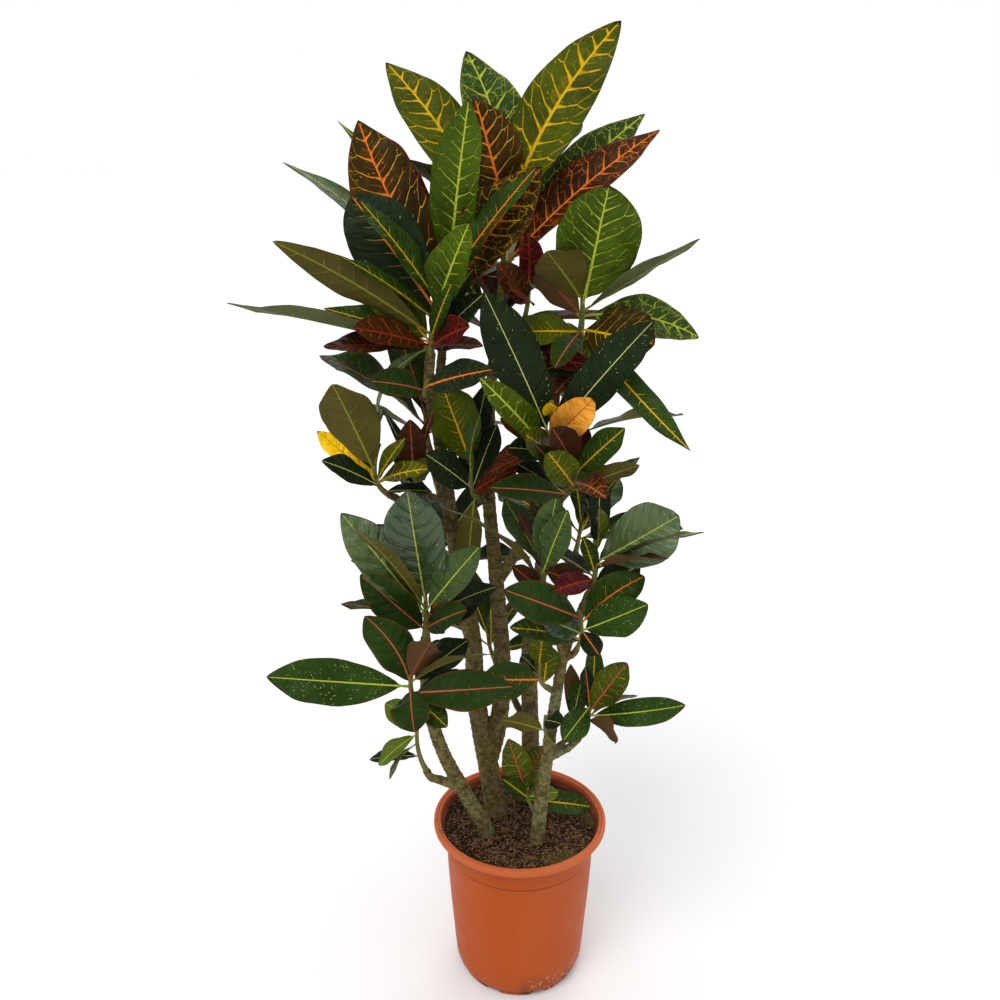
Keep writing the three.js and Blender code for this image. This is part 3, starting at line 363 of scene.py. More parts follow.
# How the leaves differ: each has a seed from 0 to 1. A leaf's stalk, rib and relief have a share
# of the full size: SMALLEST, and its length over GROWN, but at most 1.
SEED_STEP = 0.37
SMALLEST, GROWN = 0.45, 300
FOLD_LEAST, FOLD_RANGE = 0.7, 1.5
WAVE_LEAST, WAVE_RANGE = 0.8, 1.3
TWIST, UNEVEN, RIPPLE = 0.3, 0.09, 0.02
STALK_THINS, RIB_THINS, RIB_SUNK = 0.25, 0.85, 0.45

# Side veins: how many, how they lean and bend towards the tip, and how unevenly they lie.
VEINS_LEAST, VEIN_SPACING = 5, 42
VEIN_SLANT, VEIN_CURVE, VEIN_DRIFT = 0.62, 0.55, 0.55

# The blade's UV map runs in steps of this many millimetres, and each leaf has its own part.
UV_SCALE, UV_SHIFT = 100, 50

# The green axis of a shoot: its radius as a share of its limb's, its radius at the tip, and how
# far inside the limb it begins.
AXIS_SHARE, AXIS_TIP, AXIS_INSIDE = 0.92, 2.4, 2
AXIS_STEPS, AXIS_SIDES = 16, 10

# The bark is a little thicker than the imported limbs. WARM_BARK is the linear light of its warm
# patches on each stem.
BARK_SHARE = 1.1
LIMB_STEP, LIMB_SIDES = 6, 20
WARM_BARK = {
    "stem_left": (0.150, 0.145, 0.062),
    "stem_centre": (0.120, 0.098, 0.045),
    "stem_back": (0.095, 0.085, 0.042),
    "stem_right": (0.170, 0.170, 0.072),
}

# The pot's outline as (radius, height): under the foot, up the outside and, inside, the floor.
# The lip's points are steps from the rim's radius and the pot's top.
POT_FOOT = ((0, 0), (56, 0), (58.6, 0.6), (60.5, 5.4), (62.5, 6), (75.6, 6), (76.8, 5),
            (77, 0.4), (77.4, 0), (82, 0), (82.4, 0.4), (82.5, 8), (83, 9), (85, 9.3),
            (86.4, 9.8))
POT_OUTSIDE = ((87.5, 11), (90.5, 20), (92.6, 41), (94, 62), (96.6, 95), (99, 127), (101, 162),
               (102.4, 195.2), (101.7, 196), (103.5, 197.4), (103.9, 206), (104.5, 218),
               (105.6, 222), (107.6, 225.6), (110.6, 228.6), (113, 229.6))
POT_LIP = ((-3, -10), (-1.1, -9.4), (-0.2, -8), (0, -5), (-0.2, -2.2), (-1, -0.7), (-2.4, 0),
           (-4.4, -0.1), (-5.4, -0.9), (-5.9, -1.6), (-6.4, -1.2), (-7.2, -0.9), (-8.6, -1.2),
           (-9.6, -2.4), (-10.2, -5))
POT_FLOOR = ((76, 7.6), (60, 7.6), (57, 1.6), (0, 1.6))
INSIDE_RISE = 0.8
POT_STEPS, POT_SHARP = 160, 32

# The notches of the foot and the drain holes, in metres. The first notch is at an angle in
# degrees. A notch is deep, wide and high.
NOTCHES, NOTCH_FIRST = 8, -72
NOTCH_SIZE, NOTCH_RADIUS, NOTCH_ROUND = (0.012, 0.02, 0.008), 0.0795, 0.0025
HOLE, HOLE_DEPTH, HOLE_RADIUS = 0.004, 0.03, 0.069

# The soil: its surface sinks from the middle to the wall, and is whatever lies above
# SOIL_SURFACE, in metres. Crumbs and fibres lie within their reach of the middle.
SOIL_RADIUS, SOIL_TOP, SOIL_DOME = 107, 229, 3
SOIL_SIDE = ((101.6, 212), (100.4, 197), (97, 127), (92, 62), (86, 14), (75.6, 8.2), (60, 8.2),
             (56.5, 2), (0, 2))
SOIL_RINGS, SOIL_STEPS = 64, 220
SOIL_SURFACE = 0.22
CRUMB_SEED, CRUMB_REACH, CRUMB_LEAST, CRUMB_RANGE = 7, 103, 0.7, 1.9
FIBRE_SEED, FIBRE_REACH, FIBRE_LIMIT = 11, 96, 102
FIBRE_STEPS, FIBRE_STEP, FIBRE_RADIUS, FIBRE_LIFT = 7, 2.2, 0.28, 0.5

# The stage, in metres, degrees and, for the lens, millimetres.
FLOOR_RADIUS = 60
KEY_FROM, KEY_SPREAD = (-0.5, -0.9, 1.7), 28
BACK_FROM, BACK_SPREAD, BACK_SHARE = (0.5, 1.6, 1.5), 40, 0.5
CAMERA_PLACE, CAMERA_DOWN = (-0.0276, -1.1804, 1.1153), 19.101
CAMERA_SENSOR, CAMERA_LENS = 36, 36

# Looks of the leaves. Colours are names in LeafColours. width and reach are those of the side
# veins, as shares of their spacing and of the half blade; specks, net and blotch are amounts
# from 0 to 1, and quilt and rib_width are shares of the usual ones. A look gives only what
# differs from the plain one.
PARTS = ("ground", "vein", "rib", "rim", "under")
UPPER, UNDER, SKIN, SHINY = range(4)
PLAIN_LOOK = {"ground": "green", "vein": "lime", "rib": "gold", "rim": "green",
              "under": "under_olive", "width": 0.03, "reach": 0.5, "rib_width": 1.0,
              "specks": 0.25, "net": 0.0, "blotch": 0.0, "quilt": 0.6, "shiny": False}
LOOKS = {
    "olive_gold": {"ground": "olive", "vein": "gold", "rim": "bronze", "width": 0.1,
                   "reach": 1.3, "rib_width": 1.5, "specks": 0.4, "blotch": 0.12},
    "olive_dim": {"ground": "olive", "rim": "bronze", "reach": 0.8, "rib_width": 1.2,
                  "specks": 0.4},
    "olive": {"ground": "olive", "rim": "bronze", "width": 0.05, "reach": 1.0, "specks": 0.4},
    "olive_green": {"ground": "bright", "rib": "lime", "rim": "olive", "width": 0.05,
                    "reach": 1.15, "rib_width": 1.4, "specks": 1.0},
    "bright": {"ground": "bright", "rib": "lime", "rim": "olive", "width": 0.05, "reach": 1.05,
               "rib_width": 1.4, "specks": 0.6},
    "bronze": {"ground": "bronze", "vein": "gold", "rim": "bronze", "width": 0.065,
               "reach": 1.2, "rib_width": 1.3, "specks": 0.4},
    "green": {"width": 0.028, "reach": 0.6, "quilt": 0.7},
    "green_clear": {"vein": "cream", "rib": "lime", "width": 0.009, "reach": 0.3,
                    "rib_width": 0.7, "specks": 0.9},
    "green_orange": {"vein": "gold", "rib": "orange", "rim": "olive"},
    "dark": {"ground": "dark", "rib": "cream", "rim": "dark", "width": 0.012, "reach": 0.3,
             "rib_width": 0.5, "specks": 0.2},
    "dark_cream": {"ground": "dark", "vein": "cream", "rib": "cream", "rim": "dark",
                   "width": 0.01, "reach": 0.25, "rib_width": 0.45, "specks": 0.3},
    "dark_orange": {"ground": "dark", "vein": "cream", "rib": "orange", "rim": "dark",
                    "width": 0.022, "reach": 0.45, "specks": 0.15, "quilt": 1.6},
    "dark_salmon": {"ground": "deep", "vein": "salmon", "rib": "salmon", "rim": "red",
                    "width": 0.016, "reach": 0.3, "rib_width": 0.75, "specks": 0.35},
    "dark_net": {"ground": "bronze", "vein": "gold", "rib": "orange", "rim": "red",
                 "width": 0.08, "reach": 1.3, "specks": 0.7, "net": 0.5, "blotch": 0.1},
    "quilted": {"ground": "deep", "rib": "lime", "rim": "deep", "width": 0.012, "reach": 0.3,
                "rib_width": 0.6, "specks": 0.3, "quilt": 2.0, "shiny": True},
    "sage": {"ground": "sage", "rib": "lime", "rim": "moss", "width": 0.014, "reach": 0.35,
             "rib_width": 0.7, "specks": 0.3, "quilt": 2.2, "shiny": True},
    "moss": {"ground": "moss", "rib": "lime", "rim": "moss", "width": 0.014, "reach": 0.35,
             "rib_width": 0.7, "specks": 0.3, "quilt": 2.2, "shiny": True},
    "grey": {"ground": "grey", "vein": "cream", "rib": "lime", "rim": "grey", "width": 0.02,
             "reach": 0.4, "rib_width": 0.7, "quilt": 1.0},
    "grey_net": {"ground": "moss", "rib": "lime", "rim": "lime", "width": 0.08, "reach": 1.2,
                 "rib_width": 1.2, "specks": 1.0, "net": 0.5},
    "maroon_orange": {"ground": "umber", "vein": "gold", "rib": "orange", "rim": "red",
                      "under": "under_purple", "width": 0.085, "reach": 1.3, "rib_width": 1.3,
                      "specks": 0.5, "blotch": 0.06},
    "maroon_red": {"ground": "maroon", "vein": "orange", "rib": "orange", "rim": "red",
                   "under": "under_purple", "width": 0.065, "reach": 1.2, "specks": 0.4,
                   "net": 0.4},
    "maroon": {"ground": "maroon", "vein": "orange", "rib": "red", "rim": "maroon",
               "under": "under_purple", "width": 0.035, "reach": 1.0, "rib_width": 0.8,
               "specks": 0.2},
    "red": {"ground": "wine", "vein": "red", "rib": "red", "rim": "red",
            "under": "under_purple", "width": 0.06, "reach": 1.0, "net": 0.3},
    "brown": {"ground": "brown", "vein": "bronze", "rib": "salmon", "rim": "brown",
              "under": "under_purple", "width": 0.02, "reach": 0.4, "rib_width": 0.6,
              "specks": 0.1},
    "net_orange": {"ground": "olive", "vein": "cream", "rib": "salmon", "rim": "red",
                   "width": 0.05, "reach": 0.9, "rib_width": 0.9, "specks": 0.4, "blotch": 0.05},
    "pale": {"ground": "pale", "rib": "lime", "rim": "lime", "reach": 0.6, "rib_width": 0.8},
    "yellow": {"ground": "yellow", "vein": "gold", "rim": "gold", "under": "yellow",
               "width": 0.02, "reach": 0.3, "specks": 0.0},
    "spotted": {"ground": "yellow", "vein": "brown", "rim": "gold", "under": "yellow",
                "width": 0.01, "reach": 0.1, "specks": 1.0},
    "orange": {"ground": "amber", "vein": "brown", "rib": "salmon", "rim": "red",
               "under": "amber", "width": 0.01, "reach": 0.2, "specks": 0.5},
    "under": {"ground": "olive"},
    "under_grey": {"ground": "grey", "under": "under_grey"},
    "under_brown": {"ground": "brown", "vein": "salmon", "under": "under_purple"},
}

# ------------------------------------------------------------------ settings


def light_of(value):
    """The linear light of one screen value from 0 to 255."""
    share = value / 255
    return share / 12.92 if share <= 0.04045 else ((share + 0.055) / 1.055) ** 2.4


def colour(label, note, red, green, blue):
    """A colour setting, given as its screen values."""
    return bpy.props.FloatVectorProperty(
        name=label, description=note, subtype="COLOR", size=3, min=0, max=1,
        default=(light_of(red), light_of(green), light_of(blue)))


def length(label, note, millimetres):
    """A length setting, given in millimetres."""
    return bpy.props.FloatProperty(
        name=label, description=note, subtype="DISTANCE", unit="LENGTH", min=0,
        precision=5, default=millimetres * MM)


class LeafColours(bpy.types.PropertyGroup):
    """Colours of the blades, their veins and their undersides."""

    olive: colour("Olive", "Ground of the golden-veined crown leaves", 62, 72, 6)
    bright: colour("Bright green", "Ground of the brightest leaves", 56, 76, 8)
    green: colour("Green", "Ground of the plain green leaves", 36, 58, 14)
    deep: colour("Deep green", "Ground of the green leaves lower down", 28, 50, 12)
    dark: colour("Dark green", "Ground of the darkest leaves", 22, 34, 16)
    grey: colour("Grey green", "Ground of the leaves that shine grey", 58, 76, 40)
    sage: colour("Sage", "Ground of the leaves that shine palest", 66, 86, 38)
    moss: colour("Moss green", "Ground of the dull leaves half way up", 42, 62, 24)
    pale: colour("Pale green", "Ground of the small low leaves", 88, 108, 36)
    bronze: colour("Bronze", "Ground between green and maroon", 46, 36, 8)
    maroon: colour("Maroon", "Ground of the dark red leaves", 54, 28, 6)
    umber: colour("Umber", "Ground of the brown crown leaves", 50, 34, 4)
    wine: colour("Wine", "Ground of the reddest leaves", 56, 14, 14)
    brown: colour("Brown", "Ground of the matte brown leaves", 56, 30, 12)
    gold: colour("Gold", "Golden veins", 204, 162, 20)
    orange: colour("Orange", "Orange veins", 226, 118, 34)
    salmon: colour("Salmon", "Salmon midribs", 182, 88, 60)
    red: colour("Red", "Red veins and edges", 160, 46, 26)
    lime: colour("Lime", "Yellow-green veins", 170, 180, 56)
    cream: colour("Cream", "Pale veins", 196, 200, 110)
    yellow: colour("Yellow", "Blade of the yellow leaf", 244, 196, 20)
    amber: colour("Amber", "Blade of the dying orange leaf", 216, 146, 52)
    under_olive: colour("Olive underside", "Underside of the green leaves", 82, 74, 28)
    under_grey: colour("Grey underside", "Underside of the grey leaves", 84, 88, 56)
    under_purple: colour("Purple underside", "Underside of the dark red leaves", 88, 60, 34)


class LeafSizes(bpy.types.PropertyGroup):
    """Thickness, relief and shine of the leaves."""

    blade: length("Blade", "Thickness of the blade beside the midrib", 0.8)
    petiole: length("Petiole", "Radius of a large leaf's stalk", 1.9)
    rib: length("Midrib", "Height of the midrib under the blade", 1.1)
    rib_spread: length("Midrib spread", "Half the width of the midrib's ridge", 1.7)
    quilt: length("Quilting", "Height of the blade between two side veins", 1.3)
    gloss: bpy.props.FloatProperty(
        name="Roughness", description="Roughness of the upper face", default=0.3, min=0, max=1,
        subtype="FACTOR")


class StemSettings(bpy.types.PropertyGroup):
    """Bark of the woody stems and skin of the green shoots."""

    grain: length("Grain", "Distance between the points of the bark's mesh", 1.5)
    relief: length("Relief", "Height of the bark's lumps", 0.7)
    scar_spacing: length("Scar spacing", "Distance between rings of old leaf scars", 13)
    bark: colour("Bark", "Main colour of the bark", 116, 100, 56)
    bark_dark: colour("Dark bark", "Cracks and scars", 52, 42, 20)
    bark_pale: colour("Pale bark", "Pale specks on the bark", 178, 164, 116)
    skin: colour("Green skin", "Skin of the green shoots", 92, 104, 48)


class PotSettings(bpy.types.PropertyGroup):
    """Nursery pot."""

    height: length("Height", "Height of the pot", POT_TOP.z / MM)
    rim: length("Rim radius", "Outer radius of the rolled rim", POT_TOP.x / MM)
    wall: length("Wall", "Thickness of the wall", 1.6)
    body: colour("Body", "Colour of the plastic", 166, 70, 14)
    # This colour tints the flow marks, and paints the rim's top lighter as painted light where
    # light falls on it.
    edge: colour("Worn edge", "Colour of the rim, where it is rubbed", 184, 94, 54)
    # Soil marks, and also a painted shade line in the groove of the ring step.
    dirt_and_shade: colour("Dirt", "Soil marks on the plastic", 66, 34, 18)
    scale: colour("Limescale", "Specks left by hard water", 226, 190, 160)


class SoilSettings(bpy.types.PropertyGroup):
    """Potting mix."""

    relief: length("Relief", "Height of the soil's lumps", 3.4)
    crumbs: bpy.props.IntProperty(
        name="Crumbs", description="Number of loose crumbs", default=1500, min=0)
    fibres: bpy.props.IntProperty(
        name="Fibres", description="Number of loose coir fibres", default=420, min=0)
    dark: colour("Dark soil", "Main colour of the soil", 28, 16, 10)
    light: colour("Light soil", "Dry crumbs of the soil", 120, 90, 60)
    moss: colour("Moss", "Green film on the soil near the rim", 92, 84, 34)
    fibre: colour("Fibre", "Coir fibres", 168, 128, 96)


class StageSettings(bpy.types.PropertyGroup):
    """Floor, lights and camera."""

    floor: colour("Floor", "Colour of the floor", 222, 222, 222)
    key: bpy.props.FloatProperty(
        name="Key light", description="Strength of the soft light from the front", default=1.3,
        min=0)
    sky: bpy.props.FloatProperty(
        name="Sky", description="Strength of the light from all round", default=1.0, min=0)


# ------------------------------------------------------------------ material nodes


class Finish:
    """A material being made: its nodes, and short calls that add to them."""

    def __init__(self, name):
        self.material = bpy.data.materials.new(name)
        self.material.use_nodes = True
        self.tree = self.material.node_tree
        self.tree.nodes.clear()
        output = self.tree.nodes.new("ShaderNodeOutputMaterial")
        self.surface = self.tree.nodes.new("ShaderNodeBsdfPrincipled")
        self.tree.links.new(self.surface.outputs[0], output.inputs["Surface"])

    def feed(self, socket, value):
        """Links a socket to another one, or sets it."""
        if isinstance(value, bpy.types.NodeSocket):
            self.tree.links.new(value, socket)
        elif hasattr(value, "__len__") and len(value) == 3 and socket.type == "RGBA":
            socket.default_value = (*value, 1)
        else:
            socket.default_value = value

    def add(self, kind, *values, **options):
        """A node of a kind with its inputs fed in order; None leaves one alone."""
        node = self.tree.nodes.new(kind)
        for option, value in options.items():
            setattr(node, option, value)
        for socket, value in zip(node.inputs, values):
            if value is not None:
                self.feed(socket, value)
        return node

    def math(self, operation, *values, clamp=False):
        """One step of arithmetic."""
        return self.add("ShaderNodeMath", *values, operation=operation,
                        use_clamp=clamp).outputs[0]

    def times(self, first, *others):
        """The product of all the values."""
        for other in others:
            first = self.math("MULTIPLY", first, other)
        return first

    def plus(self, first, second):
        """The sum of two values."""
        return self.math("ADD", first, second)

    def minus(self, first, second, clamp=False):
        """The first value less the second."""
        return self.math("SUBTRACT", first, second, clamp=clamp)

    def linear(self, value, factor, offset):
        """The value times a factor, and an offset."""
        return self.math("MULTIPLY_ADD", value, factor, offset)

    def size(self, value):
        """The value without its sign."""
        return self.math("ABSOLUTE", value)

    def above(self, value, limit):
        """1 where the value is above a limit, and 0 elsewhere."""
        return self.math("GREATER_THAN", value, limit)

    def below(self, value, limit):
        """1 where the value is below a limit, and 0 elsewhere."""
        return self.math("LESS_THAN", value, limit)

    def larger(self, first, second):
        """The larger of two values."""
        return self.math("MAXIMUM", first, second)

    def away(self, x, y):
        """Distance from the Z axis."""
        return self.math("SQRT", self.plus(self.times(x, x), self.times(y, y)))

    def mix(self, amount, first, second, blend="MIX"):
        """The first colour with an amount of the second."""
        node = self.add("ShaderNodeMix", amount, data_type="RGBA", blend_type=blend)
        self.feed(node.inputs[6], first)
        self.feed(node.inputs[7], second)
        return node.outputs[2]

    def tinted(self, tint, factors):
        """A colour times three factors."""
        return self.mix(1.0, tint, factors, "MULTIPLY")

    def ramp(self, value, low, high, start=0.0, end=1.0, shape="SMOOTHSTEP"):
        """A smooth step from start to end while value goes from low to high."""
        return self.add("ShaderNodeMapRange", value, low, high, start, end,
                        interpolation_type=shape).outputs[0]

    def place(self):
        """The point's place on the piece, in metres."""
        return self.add("ShaderNodeTexCoord").outputs["Object"]

    def scaled(self, where, scale):
        """A place with each of its axes scaled."""
        return self.add("ShaderNodeMapping", where, None, None, scale).outputs[0]

    def uv(self, name):
        """The point's place on one of the piece's UV maps."""
        return self.add("ShaderNodeUVMap", uv_map=name).outputs[0]

    def attribute(self, name, output="Color"):
        """A value that the mesh holds for each of its points."""
        return self.add("ShaderNodeAttribute", attribute_name=name).outputs[output]

    def split(self, vector):
        """The three parts of a vector."""
        return self.add("ShaderNodeSeparateXYZ", vector).outputs

    def joined(self, *parts):
        """A vector of three parts."""
        return self.add("ShaderNodeCombineXYZ", *parts).outputs[0]

    def noise(self, where, scale, detail=2.0, roughness=0.5):
        """Cloudy noise, about 0.5 with most of it from 0.3 to 0.7."""
        node = self.add("ShaderNodeTexNoise", where)
        for socket, value in (("Scale", scale), ("Detail", detail), ("Roughness", roughness)):
            self.feed(node.inputs[socket], value)
        return node.outputs["Fac"]

    def cells(self, where, scale, feature="F1"):
        """Random cells: the distance in each, and its random colour."""
        node = self.add("ShaderNodeTexVoronoi", where, feature=feature)
        self.feed(node.inputs["Scale"], scale)
        return node.outputs

    def chance(self, value):
        """A fixed random number and a fixed random colour for each whole number."""
        node = self.add("ShaderNodeTexWhiteNoise", noise_dimensions="1D")
        self.feed(node.inputs["W"], value)
        return node.outputs

    def bump(self, height, distance, strength=1.0):
        """A surface that looks raised by a height, at most by a distance in metres."""
        node = self.add("ShaderNodeBump")
        for socket, value in (("Strength", strength), ("Distance", distance), ("Height", height)):
            self.feed(node.inputs[socket], value)
        return node.outputs[0]

    def done(self, base, roughness, normal=None, shine=None):
        """Feeds the surface and gives the material."""
        self.feed(self.surface.inputs["Base Color"], base)
        self.feed(self.surface.inputs["Roughness"], roughness)
        if normal is not None:
            self.feed(self.surface.inputs["Normal"], normal)
        if shine is not None:
            self.surface.inputs["Specular IOR Level"].default_value = shine
        return self.material


# How strongly each finish mirrors the light.
SHINE = {"leaf": 0.07, "shiny_leaf": 0.7, "underside": 0.05, "bark": 0.1, "pot": 0.14, "soil": 0.08}

# Side veins. Places out from the midrib are shares of the half blade.
FORK_FIRST, FORK_RANGE = 0.55, 0.2
ARM_RUN, ARM_BEND = 0.3, 0.75
FLARE_POWER, FLARE = 9.0, 1.3
FADE_RUN = 0.12
SIDE_KEY, LEAF_KEY = 31.7, 57.3


def vein_lines(finish, phase, across, width, reach, seed):
    """How much of each point is side vein, how far out it is, and how far from a vein.

    Whole numbers of phase are the veins. Each runs straight, then forks, and its two arms meet
    the arms of its neighbours near the edge.
    """
    outward = finish.size(across)
    shifted = finish.plus(phase, 0.5)
    number = finish.math("FLOOR", shifted)
    beside = finish.size(finish.minus(finish.math("FRACT", shifted), 0.5))
    right = finish.above(across, 0.0)
    key = finish.linear(right, SIDE_KEY, finish.linear(seed, LEAF_KEY, number))
    late, tint = finish.chance(key)
    doubled, strong, far = finish.split(tint)

    fork = finish.linear(late, FORK_RANGE, FORK_FIRST)
    spread = finish.math("DIVIDE", finish.minus(outward, fork), ARM_RUN, clamp=True)
    spread = finish.times(finish.math("POWER", spread, ARM_BEND), 0.5)
    line = finish.size(finish.minus(beside, spread))

    taper = finish.linear(outward, -0.8, 1.15)
    half = finish.times(width, taper, finish.linear(strong, 0.8, 0.6), 0.7)
    flare = finish.math("POWER", finish.minus(1.0, outward, clamp=True), FLARE_POWER)
    half = finish.plus(half, finish.times(flare, width, FLARE))
    vein = finish.minus(1.0, finish.ramp(line, finish.times(half, 0.5),
                                         finish.linear(half, 1.3, 0.006)))
    ends = finish.times(reach, finish.linear(far, 0.8, 0.5))
    fade = finish.ramp(outward, finish.minus(ends, FADE_RUN), ends, 1.0, 0.0)

    between = finish.minus(0.5, beside)
    thin = finish.times(finish.ramp(between, 0.008, 0.03, 1.0, 0.0),
                        finish.ramp(outward, 0.25, 0.42, 0.6, 0.0),
                        finish.above(doubled, 0.35), finish.ramp(reach, 0.3, 0.9))
    lines = finish.larger(finish.times(vein, fade), thin)
    lines = finish.times(lines, finish.ramp(width, 0.004, 0.034, 0.15, 1.0))
    return lines, outward, beside


# Tints of the ground's lit and shaded copies: painted sunlight and painted shade.
PAINTED_SUNLIT_TINT, PAINTED_SHADE_TINT = (1.7, 1.6, 1.4), (0.4, 0.4, 0.4)
DRY_TIP = (0.03, 0.016, 0.008)
SPOT_LEAST, SPOT_RANGE = 0.08, 0.16


def leaf_ground(finish, blade, outward, patches, fine):
    """The blade's own colour, uneven, with random patches of painted sunlight and painted shade,
    and tinted at the edge.
    """
    ground = finish.attribute("ground")
    # Painted light: random patches take a paler copy of the ground, as sunlight, and others a
    # darker copy, as painted shade.
    painted_sunlight = finish.ramp(finish.noise(blade, 1.4, 2.0), 0.35, 0.65, 0.0, 0.5)
    ground = finish.mix(painted_sunlight, ground, finish.tinted(ground, PAINTED_SUNLIT_TINT))
    ground = finish.mix(finish.ramp(patches, 0.42, 0.7, 0.0, 0.5), ground,
                        finish.tinted(ground, PAINTED_SHADE_TINT))
    ground = finish.mix(finish.ramp(fine, 0.45, 0.75, 0.0, 0.012), ground,
                        finish.attribute("vein"))
    return finish.mix(finish.ramp(outward, 0.8, 1.0, 0.0, 0.1), ground, finish.attribute("rim"))


def leaf_specks(finish, phase, across, seed, specks):
    """Small round flecks, scattered at random between the veins."""
    scattered = finish.joined(finish.times(phase, 8.0), finish.times(across, 7.0),
                              finish.times(seed, 40.0))
    distance, tint = finish.cells(scattered, 1.0)[:2]
    rare, wide, _ = finish.split(tint)
    spot = finish.below(distance, finish.linear(wide, SPOT_RANGE, SPOT_LEAST))
    return finish.times(spot, finish.below(rare, finish.times(specks, 0.6)))


def upper_leaf_finish(name, sizes, shine):
    """Upper face: a ground with a midrib, forked side veins, specks and a coloured edge."""
    finish = Finish(name)
    blade = finish.uv("blade")
    wobble = finish.noise(blade, 5.0)
    phase, across, _ = finish.split(finish.uv("veins"))
    phase = finish.linear(finish.minus(wobble, 0.5), 0.22, phase)
    width, reach, specks = finish.split(finish.attribute("markings", "Vector"))
    net, blotch, seed = finish.split(finish.attribute("pattern", "Vector"))
    share = finish.attribute("share", "Fac")
    rib_width = finish.attribute("rib_width", "Fac")
    vein, outward, beside = vein_lines(finish, phase, across, width, reach, seed)
    patches = finish.noise(blade, 2.2, 4.0)
    fine = finish.noise(blade, 30.0, 3.0)
    skin = leaf_ground(finish, blade, outward, patches, fine)

    stain = finish.times(finish.ramp(finish.noise(blade, 7.0, 3.0), 0.52, 0.62),
                         finish.ramp(outward, 0.1, 0.75, 1.0, 0.0), blotch)
    cracks = finish.cells(blade, 9.0, "DISTANCE_TO_EDGE")[0]
    web = finish.times(finish.ramp(cracks, 0.02, 0.06, 1.0, 0.0),
                       finish.ramp(finish.noise(blade, 8.0), 0.45, 0.6), net)
    broken = finish.ramp(finish.noise(blade, 11.0, 2.0), 0.34, 0.52, 0.5, 1.0)
    marks = finish.larger(finish.times(vein, broken), finish.larger(stain, web))
    tone = finish.mix(finish.ramp(outward, 0.05, 0.55), finish.attribute("rib"),
                      finish.attribute("vein"))
    spot = leaf_specks(finish, phase, across, seed, specks)
    skin = finish.mix(finish.times(spot, 0.75), skin, finish.attribute("vein"))
    skin = finish.mix(marks, skin, tone)

    side = finish.size(finish.split(blade)[1])
    rib_half = finish.times(rib_width, finish.linear(share, -0.012, 0.0155))
    rib = finish.ramp(side, rib_half, finish.linear(fine, 0.006, rib_half), 1.0, 0.0, "LINEAR")
    skin = finish.mix(rib, skin, finish.attribute("rib"))
    rim = finish.times(finish.ramp(outward, 0.97, 0.99, 0.0, 0.7),
                       finish.ramp(patches, 0.38, 0.6))
    skin = finish.mix(rim, skin, finish.attribute("rim"))
    skin = finish.mix(finish.ramp(share, 0.965, 0.99), skin, DRY_TIP)

    small = finish.noise(blade, 60.0, 3.0)
    pillows = finish.noise(finish.joined(finish.times(phase, 2.2), finish.times(across, 1.8),
                                         finish.times(seed, 70.0)), 1.0, 3.0)
    height = finish.linear(vein, -0.6, finish.times(small, 0.25))
    height = finish.linear(pillows, 2.6, height)
    height = finish.linear(finish.ramp(beside, 0.0, 0.12), 0.5, height)
    rough = finish.ramp(fine, 0.2, 0.8, sizes.gloss - 0.05, sizes.gloss + 0.12)
    return finish.done(skin, rough, finish.bump(height, 0.0013, 0.9), shine)


UNDER_VEIN = 0.02
UNDER_SHADE, UNDER_GLINT = (0.035, 0.03, 0.012), (0.2, 0.19, 0.1)


def under_leaf_finish():
    """Underside: dull, with a raised pale midrib and faint veins."""
    finish = Finish("leaf_under")
    blade = finish.uv("blade")
    phase, across, _ = finish.split(finish.uv("veins"))
    reach = finish.split(finish.attribute("markings", "Vector"))[1]
    seed = finish.split(finish.attribute("pattern", "Vector"))[2]
    wobble = finish.minus(finish.noise(blade, 5.0), 0.5)
    phase = finish.linear(wobble, 0.3, phase)
    vein, _, beside = vein_lines(finish, phase, across, UNDER_VEIN, reach, seed)
    ridge = finish.ramp(beside, 0.0, 0.07, 1.0, 0.0)
    patches = finish.noise(blade, 3.0, 4.0)
    fine = finish.noise(blade, 40.0, 3.0)
    skin = finish.attribute("under")
    skin = finish.mix(finish.ramp(patches, 0.35, 0.7, 0.0, 0.4), skin, UNDER_SHADE)
    skin = finish.mix(finish.ramp(ridge, 0.2, 1.0, 0.0, 0.08), skin, finish.attribute("vein"))
    broken = finish.ramp(finish.noise(blade, 6.0, 2.0), 0.42, 0.6, 0.08, 0.6)
    skin = finish.mix(finish.times(vein, broken), skin, finish.attribute("vein"))
    skin = finish.mix(finish.ramp(fine, 0.4, 0.8, 0.0, 0.06), skin, UNDER_GLINT)

    side = finish.size(finish.split(blade)[1])
    rib_half = finish.linear(finish.attribute("share", "Fac"), -0.011, 0.0135)
    rib = finish.ramp(side, rib_half, finish.plus(rib_half, 0.004), 0.75, 0.0, "LINEAR")
    pale = finish.mix(0.5, finish.attribute("under"), finish.attribute("vein"))
    skin = finish.mix(rib, skin, pale)
    height = finish.plus(ridge, finish.times(fine, 0.3))
    return finish.done(skin, 0.5, finish.bump(height, 0.0006, 0.7), SHINE["underside"])


